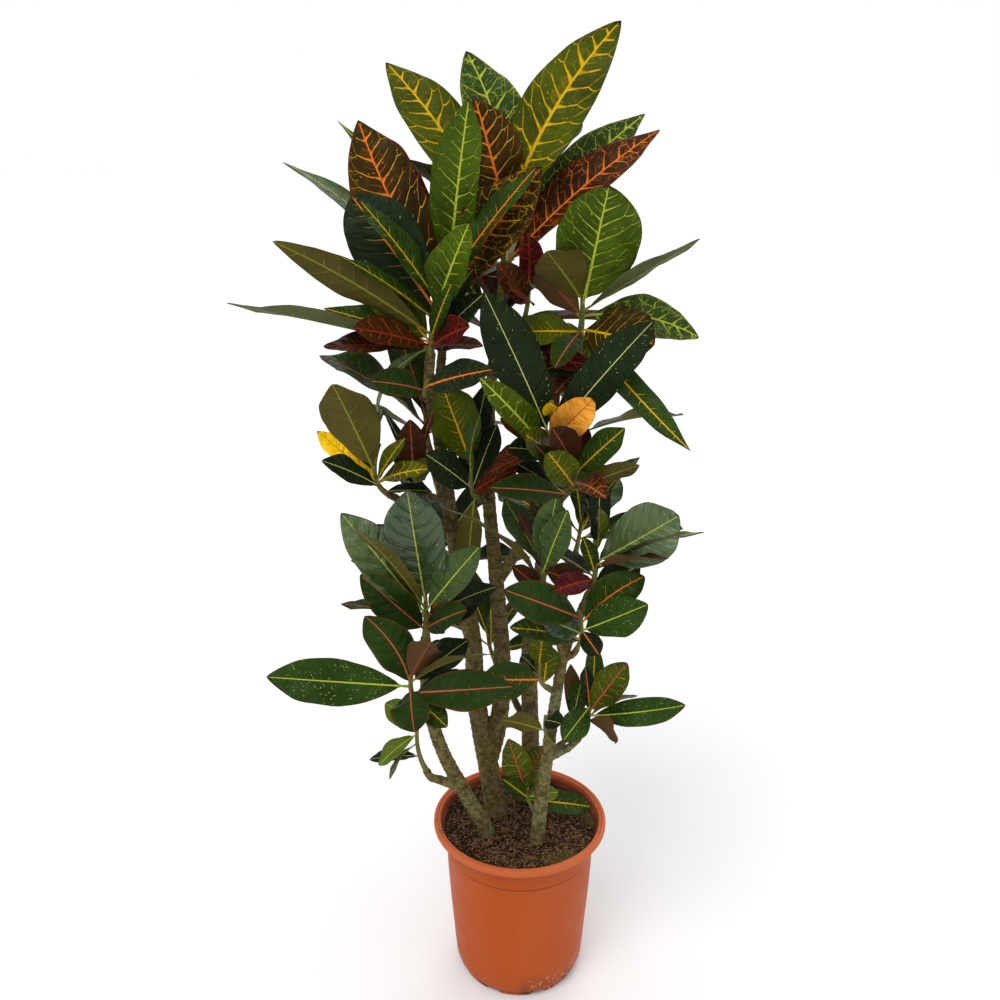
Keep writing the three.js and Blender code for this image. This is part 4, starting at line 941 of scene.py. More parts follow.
def bark_finish(name, settings, warmth):
    """Bark with cracks, ring scars and pale specks."""
    finish = Finish(name)
    place = finish.place()
    lumps = finish.noise(place, 130.0, 6.0, 0.7)
    broad = finish.noise(place, 26.0, 3.0)
    rings = finish.noise(finish.scaled(place, (18.0, 18.0, 190.0)), 1.0, 3.0)
    distance, tint = finish.cells(finish.scaled(place, (1.0, 1.0, 0.75)), 420.0)[:2]
    skin = finish.mix(finish.ramp(broad, 0.3, 0.7), settings.bark, warmth)
    skin = finish.mix(finish.ramp(lumps, 0.42, 0.62, 0.0, 0.75), skin, settings.bark_dark)
    skin = finish.mix(finish.ramp(rings, 0.56, 0.68, 0.0, 0.5), skin, settings.bark_dark)
    ragged = finish.linear(lumps, 0.5, distance)
    pale = finish.times(finish.ramp(ragged, 0.4, 0.55, 1.0, 0.0),
                        finish.below(finish.split(tint)[0], 0.45))
    skin = finish.mix(finish.times(pale, 0.8), skin, settings.bark_pale)
    height = finish.linear(lumps, 1.0, finish.times(rings, 0.6))
    height = finish.linear(pale, 0.4, height)
    return finish.done(skin, 0.82, finish.bump(height, 0.002), SHINE["bark"])


def skin_finish(settings):
    """Green skin of the leafy shoots, browner in patches."""
    finish = Finish("shoot_skin")
    place = finish.place()
    patches = finish.noise(place, 40.0, 4.0)
    rings = finish.noise(finish.scaled(place, (30.0, 30.0, 240.0)), 1.0, 3.0)
    skin = finish.mix(finish.ramp(patches, 0.4, 0.65), settings.skin, settings.bark)
    skin = finish.mix(finish.ramp(rings, 0.55, 0.7, 0.0, 0.6), skin, settings.bark_dark)
    return finish.done(skin, 0.6, finish.bump(rings, 0.0008), SHINE["bark"])


# Heights and radii on the pot, in metres, between which a mark comes or goes.
# Between these heights the rim's top is painted lighter: painted light.
PAINTED_RIM_LIGHT = (0.229, 0.233)
# A dark line in the ring step's groove, between these heights, is painted shade.
GROOVE_FROM, GROOVE_TO = (0.1948, 0.1958), (0.1968, 0.1976)
MARKED_RIM = (0.19, 0.232)
WET_FOOT, SCALED_FOOT = (0.0, 0.014), (0.006, 0.05)
INNER_RADIUS, INNER_TOP, INNER_FOOT = (0.1085, 0.11), (0.2335, 0.2365), 0.224


def pot_dirt_and_shade(finish, place, blotches):
    """Where the pot is darkened, as (share, strength), from the groove to the inner wall: painted
    shade in the groove, soil marks, and a darker inner wall.
    """
    x, y, z = finish.split(place)
    # Painted shade: a dark line in the groove of the ring step.
    groove = finish.times(finish.ramp(z, *GROOVE_FROM), finish.ramp(z, *GROOVE_TO, 1.0, 0.0))
    marks = finish.times(finish.ramp(z, *MARKED_RIM), finish.ramp(blotches, 0.6, 0.72))
    low = finish.times(finish.ramp(z, *WET_FOOT, 0.6, 0.0), finish.ramp(blotches, 0.4, 0.6))
    inner = finish.times(finish.ramp(finish.away(x, y), *INNER_RADIUS, 1.0, 0.0),
                         finish.ramp(z, *INNER_TOP, 1.0, 0.0))
    inner = finish.times(inner, finish.above(z, INNER_FOOT),
                         finish.ramp(blotches, 0.35, 0.6, 0.5, 0.95))
    return finish.times(groove, 0.55), finish.times(marks, 0.6), low, inner


def pot_finish(settings):
    """Moulded plastic: faint flow marks, the rim's top painted lighter as painted light, a painted
    shade line in the groove, soil marks and limescale at the foot.
    """
    finish = Finish("pot_plastic")
    place = finish.place()
    x, y, z = finish.split(place)
    flow = finish.noise(finish.scaled(place, (9.0, 9.0, 1.6)), 1.0, 4.0)
    fine = finish.noise(place, 240.0, 3.0)
    blotches = finish.noise(place, 26.0, 4.0, 0.6)
    skin = finish.mix(finish.ramp(flow, 0.3, 0.7, 0.0, 0.22), settings.body, settings.edge)
    skin = finish.mix(finish.ramp(fine, 0.35, 0.75, 0.0, 0.08), skin, settings.dirt_and_shade)
    # Painted light: the top of the rolled rim takes the lighter edge colour, as if lit from above.
    skin = finish.mix(finish.ramp(z, *PAINTED_RIM_LIGHT, 0.0, 0.75), skin, settings.edge)
    # The groove's painted shade line and the soil marks, all in the same dark colour.
    for dirt_and_shade in pot_dirt_and_shade(finish, place, blotches):
        skin = finish.mix(dirt_and_shade, skin, settings.dirt_and_shade)

    turned = finish.plus(finish.math("ARCTAN2", y, x), 1.0)
    near = finish.ramp(finish.size(turned), 0.3, 0.8, 1.0, 0.0)
    foot = finish.times(finish.ramp(z, *SCALED_FOOT, 1.0, 0.0), near)
    stain = finish.times(foot, finish.ramp(blotches, 0.48, 0.6))
    skin = finish.mix(finish.times(stain, 0.7), skin, settings.dirt_and_shade)
    grit = finish.noise(finish.scaled(place, (1.0, 1.0, 0.6)), 330.0, 4.0, 0.7)
    chips = finish.times(finish.ramp(grit, 0.56, 0.62),
                         finish.ramp(finish.noise(place, 60.0), 0.46, 0.56))
    chips = finish.times(chips, foot)
    skin = finish.mix(chips, skin, settings.scale)
    rough = finish.ramp(blotches, 0.3, 0.7, 0.42, 0.56)
    height = finish.linear(chips, 1.0, finish.times(fine, 0.15))
    return finish.done(skin, rough, finish.bump(height, 0.0004, 0.6), SHINE["pot"])


MOSS_RADIUS, MOSS_SIDE = (0.06, 0.1), (-0.06, 0.08)


def soil_finish(settings):
    """Dark crumbly potting mix with a mossy film near the rim."""
    finish = Finish("potting_mix")
    place = finish.place()
    distance, tint = finish.cells(place, 420.0)[:2]
    lumps = finish.noise(place, 300.0, 6.0, 0.7)
    broad = finish.noise(place, 22.0, 3.0)
    x, y, _ = finish.split(place)
    skin = finish.mix(finish.ramp(lumps, 0.5, 0.66, 0.0, 0.8), settings.dark, settings.light)
    bits = finish.times(finish.ramp(distance, 0.2, 0.45, 1.0, 0.0),
                        finish.above(finish.split(tint)[0], 0.82))
    skin = finish.mix(finish.times(bits, 0.7), skin, settings.fibre)
    moss = finish.times(finish.ramp(finish.away(x, y), *MOSS_RADIUS),
                        finish.ramp(broad, 0.46, 0.6))
    moss = finish.times(moss, finish.ramp(finish.minus(x, y), *MOSS_SIDE))
    skin = finish.mix(finish.times(moss, 0.55), skin, settings.moss)
    height = finish.linear(lumps, 1.0, finish.times(distance, 0.6))
    return finish.done(skin, 0.95, finish.bump(height, 0.004), SHINE["soil"])


def plain_finish(name, tint, roughness):
    """A finish with fine mottling for small loose bits."""
    finish = Finish(name)
    mottle = finish.noise(finish.place(), 500.0, 3.0)
    dark = tuple(0.45 * share for share in tint)
    skin = finish.mix(finish.ramp(mottle, 0.3, 0.7), dark, tint)
    return finish.done(skin, roughness, finish.bump(mottle, 0.0005), SHINE["soil"])


# ------------------------------------------------------------------ shared shapes


def object_from(bm, name, *finishes):
    """A new object with the mesh that was made, at the origin."""
    mesh = bpy.data.meshes.new(name)
    bm.to_mesh(mesh)
    bm.free()
    for material in finishes:
        mesh.materials.append(material)
    made = bpy.data.objects.new(name, mesh)
    bpy.context.scene.collection.objects.link(made)
    return made


def opened(made):
    """An object's mesh, to be worked on."""
    bm = bmesh.new()
    bm.from_mesh(made.data)
    return bm


def written_back(bm, made, finish):
    """Gives an object the mesh that was worked on, and its one material."""
    bm.to_mesh(made.data)
    bm.free()
    made.data.materials.clear()
    made.data.materials.append(finish)


def settled(made, *modifiers):
    """Applies modifiers to an object's mesh: (kind, settings) pairs."""
    for kind, values in modifiers:
        modifier = made.modifiers.new(kind.lower(), kind)
        for name, value in values.items():
            setattr(modifier, name, value)
    bpy.context.view_layer.update()
    whole = bpy.data.meshes.new_from_object(
        made.evaluated_get(bpy.context.evaluated_depsgraph_get()))
    made.modifiers.clear()
    old, made.data = made.data, whole
    whole.name = made.name
    bpy.data.meshes.remove(old)


def shade_smooth(faces):
    """Smooth shading on faces."""
    for face in faces:
        face.smooth = True


def keep_sharp(bm, angle):
    """Keeps the edges sharp where the surface bends more than an angle in degrees."""
    for edge in bm.edges:
        edge.smooth = len(edge.link_faces) == 2 and edge.calc_face_angle() < math.radians(angle)


def spun(profile, steps):
    """A closed round body: a profile of (radius, height) in millimetres, turned round Z."""
    bm = bmesh.new()
    line = [bm.verts.new((r * MM, 0, z * MM)) for r, z in profile]
    edges = [bm.edges.new(pair) for pair in zip(line, line[1:])]
    bmesh.ops.spin(bm, geom=line + edges, cent=(0, 0, 0), axis=(0, 0, 1),
                   angle=2 * math.pi, steps=steps, use_merge=True)
    bmesh.ops.remove_doubles(bm, verts=bm.verts, dist=WELD)
    bmesh.ops.recalc_face_normals(bm, faces=bm.faces)
    return bm


def catmull_rom(points, step):
    """Points at about equal steps on a smooth curve through all the given ones."""
    rows = [Vector(p) for p in points]
    rows = [2 * rows[0] - rows[1], *rows, 2 * rows[-1] - rows[-2]]
    path = [rows[1]]
    for a, b, c, d in zip(rows, rows[1:], rows[2:], rows[3:]):
        ab, bc, cd = ((q - p).length ** 0.5 for p, q in ((a, b), (b, c), (c, d)))
        leave = ((b - a) / ab - (c - a) / (ab + bc) + (c - b) / bc) * bc
        arrive = ((c - b) / bc - (d - b) / (bc + cd) + (d - c) / cd) * bc
        count = max(2, round((c - b).length / step))
        for k in range(1, count + 1):
            t = k / count
            path.append((2 * t ** 3 - 3 * t ** 2 + 1) * b + (t ** 3 - 2 * t ** 2 + t) * leave
                        + (3 * t ** 2 - 2 * t ** 3) * c + (t ** 3 - t ** 2) * arrive)
    return path


def tube(bm, path, radius_at, sides, material=0):
    """A closed round tube along a path, in millimetres. radius_at takes the share 0 to 1."""
    last = len(path) - 1
    turn = Vector((0, 0, 1)).rotation_difference(path[1] - path[0])
    frames = []
    tangent = (path[1] - path[0]).normalized()
    for i, point in enumerate(path):
        ahead = (path[min(i + 1, last)] - path[max(i - 1, 0)]).normalized()
        turn = tangent.rotation_difference(ahead) @ turn
        tangent = ahead
        frames.append((point, turn))
    frames = [frames[0], *frames, frames[-1]]
    rings = len(frames) - 1
    made = bmesh.ops.create_grid(bm, x_segments=rings, y_segments=sides, size=1)["verts"]
    for vertex in made:
        ring = round((vertex.co.x + 1) / 2 * rings)
        angle = math.pi * (1 - vertex.co.y)
        point, turn = frames[ring]
        radius = 0 if ring in (0, rings) else radius_at((ring - 1) / last)
        out = turn @ Vector((math.cos(angle), math.sin(angle), 0))
        vertex.co = (point + out * radius) * MM
    faces = {face for vertex in made for face in vertex.link_faces}
    shade_smooth(faces)
    for face in faces:
        face.material_index = material
    bmesh.ops.remove_doubles(bm, verts=made, dist=WELD)


class Dice:
    """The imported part's own seeded random numbers from 0 to 1."""

    FACTOR, STEP, RANGE = 1664525, 1013904223, 2 ** 32

    def __init__(self, seed):
        self.seed = seed

    def roll(self):
        """The next number."""
        self.seed = (self.seed * self.FACTOR + self.STEP) % self.RANGE
        return self.seed / self.RANGE


# ------------------------------------------------------------------ where the leaves are


class Leaf:
    """One leaf: its root, the way to its tip, the way its upper face looks, and its measures."""

    def __init__(self, root, along, up, reach, look):
        self.root = root - along * ROOT_BEHIND
        self.along = along
        self.up = up
        self.length = reach + ROOT_BEHIND
        self.look = look
        self.width = self.bow = self.curve = self.phase = 0.0
        self.fine = False

    def bend(self):
        """The angle that the blade's bow turns through."""
        return math.radians(max(self.bow, LEAST_BOW))

    def swung(self, sideways, upwards, share):
        """The leaf turned about its root by angles in degrees, and shortened to a share."""
        sideways, upwards = math.radians(sideways), math.radians(upwards)
        side = self.along.cross(self.up)
        turned = self.along * math.cos(sideways) + side * math.sin(sideways)
        other = copy.copy(self)
        other.along = turned * math.cos(upwards) + self.up * math.sin(upwards)
        other.up = self.up * math.cos(upwards) - turned * math.sin(upwards)
        other.length = self.length * share
        other.width = self.width * math.sqrt(share)
        return other


def limb_end(limb):
    """A limb's end, the direction it ends in, and its radius there."""
    for limbs in STEMS.values():
        if limb in limbs:
            _, radius, points = limbs[limb]
            end, before = Vector(points[-1]), Vector(points[-2])
            return end, (end - before).normalized(), radius
    raise KeyError(limb)


def shoot_point(shoot, t, gap=GAP):
    """A point on the axis of a shoot, from its limb's end (0) to its tip (1)."""
    end, direction, _ = limb_end(shoot[0])
    start, tip = end + direction * gap, Vector(shoot[1])
    bend = start + direction * ((tip - start).length / 2)
    return (1 - t) ** 2 * start + 2 * t * (1 - t) * bend + t ** 2 * tip


def root_on(shoot, share):
    """Where on a shoot's axis a leaf grows, from the lowest (0) to the highest (1)."""
    lowest = ROOT_OFFSET / (Vector(shoot[1]) - shoot_point(shoot, 0)).length
    return shoot_point(shoot, lowest + (ROOT_HIGHEST - lowest) * share)


def shown_leaf(shoot, row):
    """A leaf that shows from the front, from its row."""
    look, share, x, y, z, width, bow, turn, *curve = row
    root, tip = root_on(shoot, share), Vector((x, y, z))
    along = (tip - root).normalized()
    face = (VIEWER - along * VIEWER.dot(along)).normalized()
    inward = along.cross(face)
    if inward.z < 0:
        inward.negate()
    up = face * math.cos(math.radians(turn)) + inward * math.sin(math.radians(turn))
    leaf = Leaf(root, along, up, (tip - root).length, look)
    leaf.width, leaf.bow, leaf.curve, leaf.fine = width, bow, (curve or [0])[0], True
    return leaf


def rule_leaves(shoot, dice):
    """Leaves that the rule adds: round the shoot by the golden section, the highest steepest."""
    count, usual, middle, spread = shoot[2]
    for i in range(count):
        share = (i + 0.5) / count
        azimuth = math.radians(middle + spread * ((i + 1) * GOLDEN_SECTION % 1 - 0.5))
        rise = math.radians(STEEPEST - (STEEPEST - FLATTEST) * share
                            + RISE_RANGE * (dice.roll() - 0.5))
        reach = usual * (REACH_LEAST + REACH_RANGE * dice.roll())
        root = root_on(shoot, ROOT_HIGHEST - RULE_RUN * share)
        along = Vector((math.cos(azimuth) * math.cos(rise), math.sin(azimuth) * math.cos(rise),
                        math.sin(rise)))
        up = (Vector((0, 0, 1)) - along * along.z).normalized()
        roll = math.radians(ROLL_RANGE * (dice.roll() - 0.5))
        up = up * math.cos(roll) + along.cross(up) * math.sin(roll)
        leaf = Leaf(root, along, up, reach, shoot[3])
        leaf.width = reach * (SLENDER_LEAST + SLENDER_RANGE * dice.roll())
        leaf.bow = BOW_LEAST + BOW_RANGE * dice.roll()
        yield leaf


def place_in(tree, leaf):
    """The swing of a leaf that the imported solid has, or None if the solid lacks the leaf."""
    for swing in SWINGS:
        trial = leaf.swung(*swing)
        bend = leaf.bend() / 2
        out = trial.up * math.cos(bend) + trial.along * math.sin(bend)
        tip = trial.root + trial.along * trial.length
        near = [tree.find((tip + out * side * EDGE_THICKNESS / 2) * MM)[2] for side in (-1, 1)]
        if max(near) < TIP_FOUND:
            return trial
    return None


def packed_points():
    """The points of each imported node, ready to be searched."""
    trees = {}
    for name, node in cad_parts.items():
        points = node.data.vertices
        trees[name] = KDTree(len(points))
        for i, vertex in enumerate(points):
            trees[name].insert(vertex.co, i)
        trees[name].balance()
    return trees


def all_leaves():
    """Every leaf by the name of its node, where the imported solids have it."""
    trees = packed_points()
    wanted = [(name, shown_leaf(SHOOTS[shoot], row)) for name, (shoot, row) in ODD_LEAVES.items()]
    for name, shoot in SHOOTS.items():
        wanted += [("shoot_" + name, shown_leaf(shoot, row)) for row in shoot[4]]
    dice = Dice(LEAF_SEED)
    for name, shoot in SHOOTS.items():
        wanted += [("shoot_" + name, leaf) for leaf in rule_leaves(shoot, dice)]
    found = {name: [] for name, _ in wanted}
    for number, (name, leaf) in enumerate(wanted):
        leaf.phase = (number + 1) * PHASE_STEP
        placed = leaf if name in ODD_LEAVES else place_in(trees[name], leaf)
        if placed is None:
            print("not in the solids:", name, number)
        else:
            found[name].append(placed)
    return found


# ------------------------------------------------------------------ the blades


def outline(u, taper):
    """Half the blade's width at u, as a share of its widest: from the stalk (0) to the tip (1)."""
    widest = FULLNESS / (FULLNESS + taper)
    most = widest ** FULLNESS * (1 - widest) ** taper
    point = 1 - TIP_DRAWN * max(0, (u - TIP_FROM) / TIP_RUN) ** 1.4
    return u ** FULLNESS * (1 - u) ** taper / most * point


def column_share(y):
    """Share of the half blade for a column of the grid: close together at midrib and edge."""
    g = abs(y)
    return math.copysign(g - 0.6 * math.sin(2 * math.pi * g) / (2 * math.pi), -y)


# A line across a blade: its share of the length, its share of the blade without the stalk, the
# midrib's place, the ways up and sideways there, half the blade's own width, half the width with
# the stalk, how much of it is blade and not stalk, and the stalk's radius.
Station = namedtuple("Station", "t u centre out turned blade half flat stalk")


class Blade:
    """What the two faces of a leaf share: its look, and the shape that both are bent to."""

    def __init__(self, leaf, look, sizes):
        self.leaf, self.look, self.sizes = leaf, look, sizes
        self.seed = leaf.phase * SEED_STEP % 1
        self.veins = VEINS_LEAST + leaf.length / VEIN_SPACING
        slender = leaf.width / leaf.length
        self.taper = (TAPER + TAPER_SLENDER * max(0, SLENDER - slender)
                      - TAPER_WIDE * max(0, slender - WIDE)
                      + TAPER_RANGE * (self.varied(9.1) - 0.5))
        self.fold = FOLD * (FOLD_LEAST + FOLD_RANGE * self.varied(7.3))
        self.twist = TWIST * ((self.seed * 3.7 + 0.31) % 1 - 0.5)
        self.wavy = WAVE_SHARE * (WAVE_LEAST + WAVE_RANGE * self.varied(5.1))
        self.arc = leaf.length / (2 * math.sin(leaf.bend() / 2))
        self.side = leaf.along.cross(leaf.up)
        self.size = min(1, SMALLEST + leaf.length / GROWN)

    def varied(self, factor):
        """A number from 0 to 1 that is fixed for the leaf, and another for each factor."""
        return self.seed * factor % 1

    def station(self, t):
        """The line across the blade at a share t of its length."""
        leaf, bow = self.leaf, self.leaf.bend()
        u = max(0, (t - STALK_SHARE) / (1 - STALK_SHARE))
        angle = bow * (t - 0.5)
        centre = (leaf.root + leaf.along * self.arc * (math.sin(angle) + math.sin(bow / 2))
                  + leaf.up * self.arc * (math.cos(angle) - math.cos(bow / 2))
                  + self.side * leaf.curve * 4 * t * (1 - t))
        out = leaf.up * math.cos(angle) + leaf.along * math.sin(angle)
        turned = self.side * math.cos(self.twist * t) + out * math.sin(self.twist * t)
        out = out * math.cos(self.twist * t) - self.side * math.sin(self.twist * t)
        blade = leaf.width / 2 * outline(u, self.taper)
        flat = min(1, u / BLADE_BEGINS)
        flat = flat * flat * (3 - 2 * flat)
        thinned = 1 - STALK_THINS * min(1, t / STALK_SHARE)
        stalk = self.sizes.petiole / MM * self.size * thinned
        half = max(blade, stalk * (1 - flat)) if u < 0.5 else max(blade, TIP_HALF)
        if t in (0, 1):
            half = 0
        return Station(t, u, centre, out, turned, blade, half, flat, stalk)

    def vein_phase(self, station, across, right):
        """How many side veins lie between the stalk and a point."""
        s = abs(across)
        drift = noise.noise(Vector((station.u * 2.6, 7 * right, self.seed * 40))) * VEIN_DRIFT
        slant = VEIN_SLANT * s * station.blade / self.leaf.length * (1 + VEIN_CURVE * s * s)
        return self.veins * (station.u - slant) + 0.5 * right + drift

    def relief(self, station, across):
        """How far the blade swells up between its side veins, or sinks at them."""
        s = abs(across)
        if not 0 < s < 1:
            return 0
        valley = math.cos(2 * math.pi * self.vein_phase(station, across, across > 0))
        swell = (math.sin(math.pi * min(1, station.u)) ** 0.5
                 * math.sin(math.pi * min(1, s * 1.02)) ** 0.7)
        return -0.5 * valley * swell * self.sizes.quilt / MM * self.look["quilt"] * self.size

    def rise(self, station, across):
        """How far the middle of the blade's thickness stands above its midrib."""
        t, u, width, s = station.t, station.u, self.leaf.width, abs(across)
        swing = 2 * math.pi * WAVES * u + self.leaf.phase + (2 if across > 0 else 0)
        wave = s * s * width * self.wavy * math.sin(math.pi * u) * math.sin(swing)
        ripple = noise.noise(Vector((t * 9, across * 1.5, self.seed * 90)))
        ripple = ripple * RIPPLE * width * s * s
        raised = 0
        if u > 0:
            raised = (station.half * math.sin(self.fold)
                      * math.sin(math.pi * min(1, u * 1.2)) ** 0.5)
        relief = self.relief(station, across)
        return (s ** 1.4 * raised + wave + relief + ripple * 2) * station.flat

    def point(self, station, across, upper):
        """A point of the upper or the lower face, in millimetres."""
        t, u, centre, out, turned, _, half, flat, stalk = station
        s, sizes = abs(across), self.sizes
        uneven = noise.noise(Vector((u * 4.5, 9 * (across > 0), self.seed * 60)))
        beside = across * half * (1 + UNEVEN * uneven * s * flat)
        height = 0
        if t not in (0, 1):
            ridge = math.exp(-(beside / (sizes.rib_spread / MM)) ** 2) * (1 - RIB_THINS * u) * flat
            thin = sizes.blade / MM / 2 * math.sqrt(max(0, 1 - s ** 8))
            round_stalk = stalk * math.sqrt(max(0, 1 - s * s))
            depth = thin * flat + round_stalk * (1 - flat)
            height = self.rise(station, across)
            if upper:
                height += depth - RIB_SUNK * ridge * self.size
            else:
                height -= depth + sizes.rib / MM * ridge * self.size * (1 - s ** 4)
        return centre + turned * beside * math.cos(self.fold * flat) + out * height


def blade_sheet(bm, blade, layers, upper):
    """One face of a leaf, bent from a flat grid. The two faces meet at the edge."""
    rows, columns = FINE_GRID if blade.leaf.fine else PLAIN_GRID
    made = bmesh.ops.create_grid(bm, x_segments=rows, y_segments=columns, size=1)["verts"]
    faces = {face for vertex in made for face in vertex.link_faces}
    stations = [blade.station(row / rows) for row in range(rows + 1)]

    def place_of(vertex):
        """The station and the column of a point of the flat grid."""
        return stations[round((vertex.co.x + 1) / 2 * rows)], column_share(vertex.co.y)

    shade_smooth(faces)
    for face in faces:
        face.material_index = UNDER if not upper else SHINY if blade.look["shiny"] else UPPER
        right = face.calc_center_median().y < 0
        for loop in face.loops:
            station, across = place_of(loop.vert)
            outward = abs(across) if right else -abs(across)
            loop[layers["veins"]].uv = (blade.vein_phase(station, across, right), outward)
            loop[layers["blade"]].uv = (
                station.t * blade.leaf.length / UV_SCALE + blade.seed * UV_SHIFT,
                across * station.half / UV_SCALE)

    look = blade.look
    for vertex in made:
        station, across = place_of(vertex)
        vertex.co = blade.point(station, across, upper) * MM
        vertex[layers["share"]] = station.t
        vertex[layers["rib_width"]] = look["rib_width"] * blade.size
        for part in PARTS:
            vertex[layers[part]] = look[part]
        vertex[layers["markings"]] = Vector((look["width"], look["reach"], look["specks"]))
        vertex[layers["pattern"]] = Vector((look["net"], look["blotch"], blade.seed))
    if not upper:
        bmesh.ops.reverse_faces(bm, faces=list(faces))
    return made


def add_leaf(bm, blade, layers):
    """A closed leaf: two faces that meet at the edge, the tip and the root."""
    sheets = [vertex for upper in (True, False)
              for vertex in blade_sheet(bm, blade, layers, upper)]
    bmesh.ops.remove_doubles(bm, verts=sheets, dist=WELD)


def leaf_layers(bm):
    """The layers that carry each leaf's pattern, made in a new bmesh."""
    layers = {name: bm.loops.layers.uv.new(name) for name in ("veins", "blade")}
    for name in ("share", "rib_width"):
        layers[name] = bm.verts.layers.float.new(name)
    for name in PARTS:
        layers[name] = bm.verts.layers.float_color.new(name)
    for name in ("markings", "pattern"):
        layers[name] = bm.verts.layers.float_vector.new(name)
    return layers


def coloured_looks(colours):
    """Each look with the plain look's values for what it leaves out, and with its colours."""
    looks = {}
    for name, own in LOOKS.items():
        look = {**PLAIN_LOOK, **own}
        looks[name] = {**look, **{part: (*getattr(colours, look[part]), 1) for part in PARTS}}
    return looks


# ------------------------------------------------------------------ pieces


class CROTON_OT_shoots(bpy.types.Operator):
    """Build the leafy shoots, each with all its leaves, and the two dying leaves"""

    bl_idname = "croton.shoots"
    bl_label = "Leafy shoots"

    def execute(self, context):
        scene = context.scene
        sizes = scene.croton_leaf_sizes
        looks = coloured_looks(scene.croton_leaf_colours)
        # In the order of UPPER, UNDER, SKIN and SHINY.
        finishes = (upper_leaf_finish("leaf_upper", sizes, SHINE["leaf"]),
                    under_leaf_finish(),
                    skin_finish(scene.croton_stems),
                    upper_leaf_finish("leaf_shiny", sizes, SHINE["shiny_leaf"]))
        for name, leaves in all_leaves().items():
            bm = bmesh.new()
            layers = leaf_layers(bm)
            for leaf in leaves:
                add_leaf(bm, Blade(leaf, looks[leaf.look], sizes), layers)
            if name not in ODD_LEAVES:
                self.add_axis(bm, SHOOTS[name.removeprefix("shoot_")])
            made = object_from(bm, name.replace("shoot_", "leaves_"), *finishes)
            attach(made, "root")
            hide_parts(name)
        return {"FINISHED"}

    @staticmethod
    def add_axis(bm, shoot):
        """The green axis of a shoot, thinner towards its tip. It begins inside its limb."""
        low = limb_end(shoot[0])[2] * AXIS_SHARE
        path = [shoot_point(shoot, i / AXIS_STEPS, -AXIS_INSIDE) for i in range(AXIS_STEPS + 1)]
        tube(bm, path, lambda t: AXIS_TIP + (low - AXIS_TIP) * (1 - t) ** 2, AXIS_SIDES, SKIN)


class CROTON_OT_stems(bpy.types.Operator):
    """Build the four woody stems with lumpy, ringed bark"""

    bl_idname = "croton.stems"
    bl_label = "Woody stems"

    def execute(self, context):
        settings = context.scene.croton_stems
        for name, limbs in STEMS.items():
            bm = bmesh.new()
            for start, end, points in limbs.values():
                tube(bm, catmull_rom(points, LIMB_STEP),
                     lambda t: BARK_SHARE * (start + (end - start) * t), LIMB_SIDES)
            bark = name.replace("stem", "bark")
            made = object_from(bm, bark)
            settled(made, ("REMESH", {"mode": "VOXEL", "voxel_size": settings.grain}),
                    ("SMOOTH", {"factor": 0.5, "iterations": 3}))
            bm = opened(made)
            self.roughen(bm, settings)
            shade_smooth(bm.faces)
            written_back(bm, made, bark_finish(bark, settings, WARM_BARK[name]))
            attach(made, "root")
            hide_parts(name)
        return {"FINISHED"}

    @staticmethod
    def roughen(bm, settings):
        """Gives the bark lumps of two sizes, and uneven rings where leaves have fallen."""
        bm.normal_update()
        for vertex in bm.verts:
            p = vertex.co
            lumps = noise.noise(p * 110) + 0.6 * noise.noise(p * 260)
            level = p.z / settings.scar_spacing + 0.8 * noise.noise(p * 25)
            ring = max(0, math.cos(2 * math.pi * level)) ** 6
            vertex.co = p + vertex.normal * settings.relief * (0.55 * lumps + 0.9 * ring)


class CROTON_OT_pot(bpy.types.Operator):
    """Build the nursery pot with its rolled rim, ring step and notched foot"""

    bl_idname = "croton.pot"
    bl_label = "Pot"

    def execute(self, context):
        settings = context.scene.croton_pot
        top, rim, wall = settings.height / MM, settings.rim / MM, settings.wall / MM
        lip = [(rim + out, top + up) for out, up in POT_LIP]
        inside = [(r - wall, z + INSIDE_RISE) for r, z in reversed(POT_OUTSIDE[:-1])]
        made = object_from(
            spun([*POT_FOOT, *POT_OUTSIDE, *lip, *inside, *POT_FLOOR], POT_STEPS), "nursery_pot")
        cutter = self.cutter()
        settled(made, ("BOOLEAN", {"operation": "DIFFERENCE", "object": cutter, "solver": "EXACT"}))
        bpy.data.objects.remove(cutter)
        bm = opened(made)
        shade_smooth(bm.faces)
        keep_sharp(bm, POT_SHARP)
        written_back(bm, made, pot_finish(settings))
        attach(made, "root")
        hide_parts("pot")
        return {"FINISHED"}

    @staticmethod
    def cutter():
        """The notches of the foot, rounded at the top, and the drain holes between them."""
        bm = bmesh.new()
        deep, wide, high = NOTCH_SIZE
        for i in range(NOTCHES):
            angle = math.radians(NOTCH_FIRST + 360 / NOTCHES * i)
            turn = Matrix.Rotation(angle, 4, "Z")
            box = Matrix.Diagonal((deep, wide, high, 1))
            made = bmesh.ops.create_cube(
                bm, size=1, matrix=turn @ Matrix.Translation((NOTCH_RADIUS, 0, 0)) @ box)["verts"]
            edges = [e for e in bm.edges if e.verts[0] in made and e.verts[1] in made
                     and all(v.co.z > 0 for v in e.verts)
                     and abs((e.verts[0].co - e.verts[1].co).length - deep) < 0.1 * MM]
            bmesh.ops.bevel(bm, geom=edges, offset=NOTCH_ROUND, segments=4, profile=0.5,
                            affect="EDGES", material=-1)
            turn = Matrix.Rotation(angle + math.pi / NOTCHES, 4, "Z")
            bmesh.ops.create_cone(
                bm, cap_ends=True, segments=20, radius1=HOLE, radius2=HOLE, depth=HOLE_DEPTH,
                matrix=turn @ Matrix.Translation((HOLE_RADIUS, 0, 0)))
        return object_from(bm, "pot_cutter")


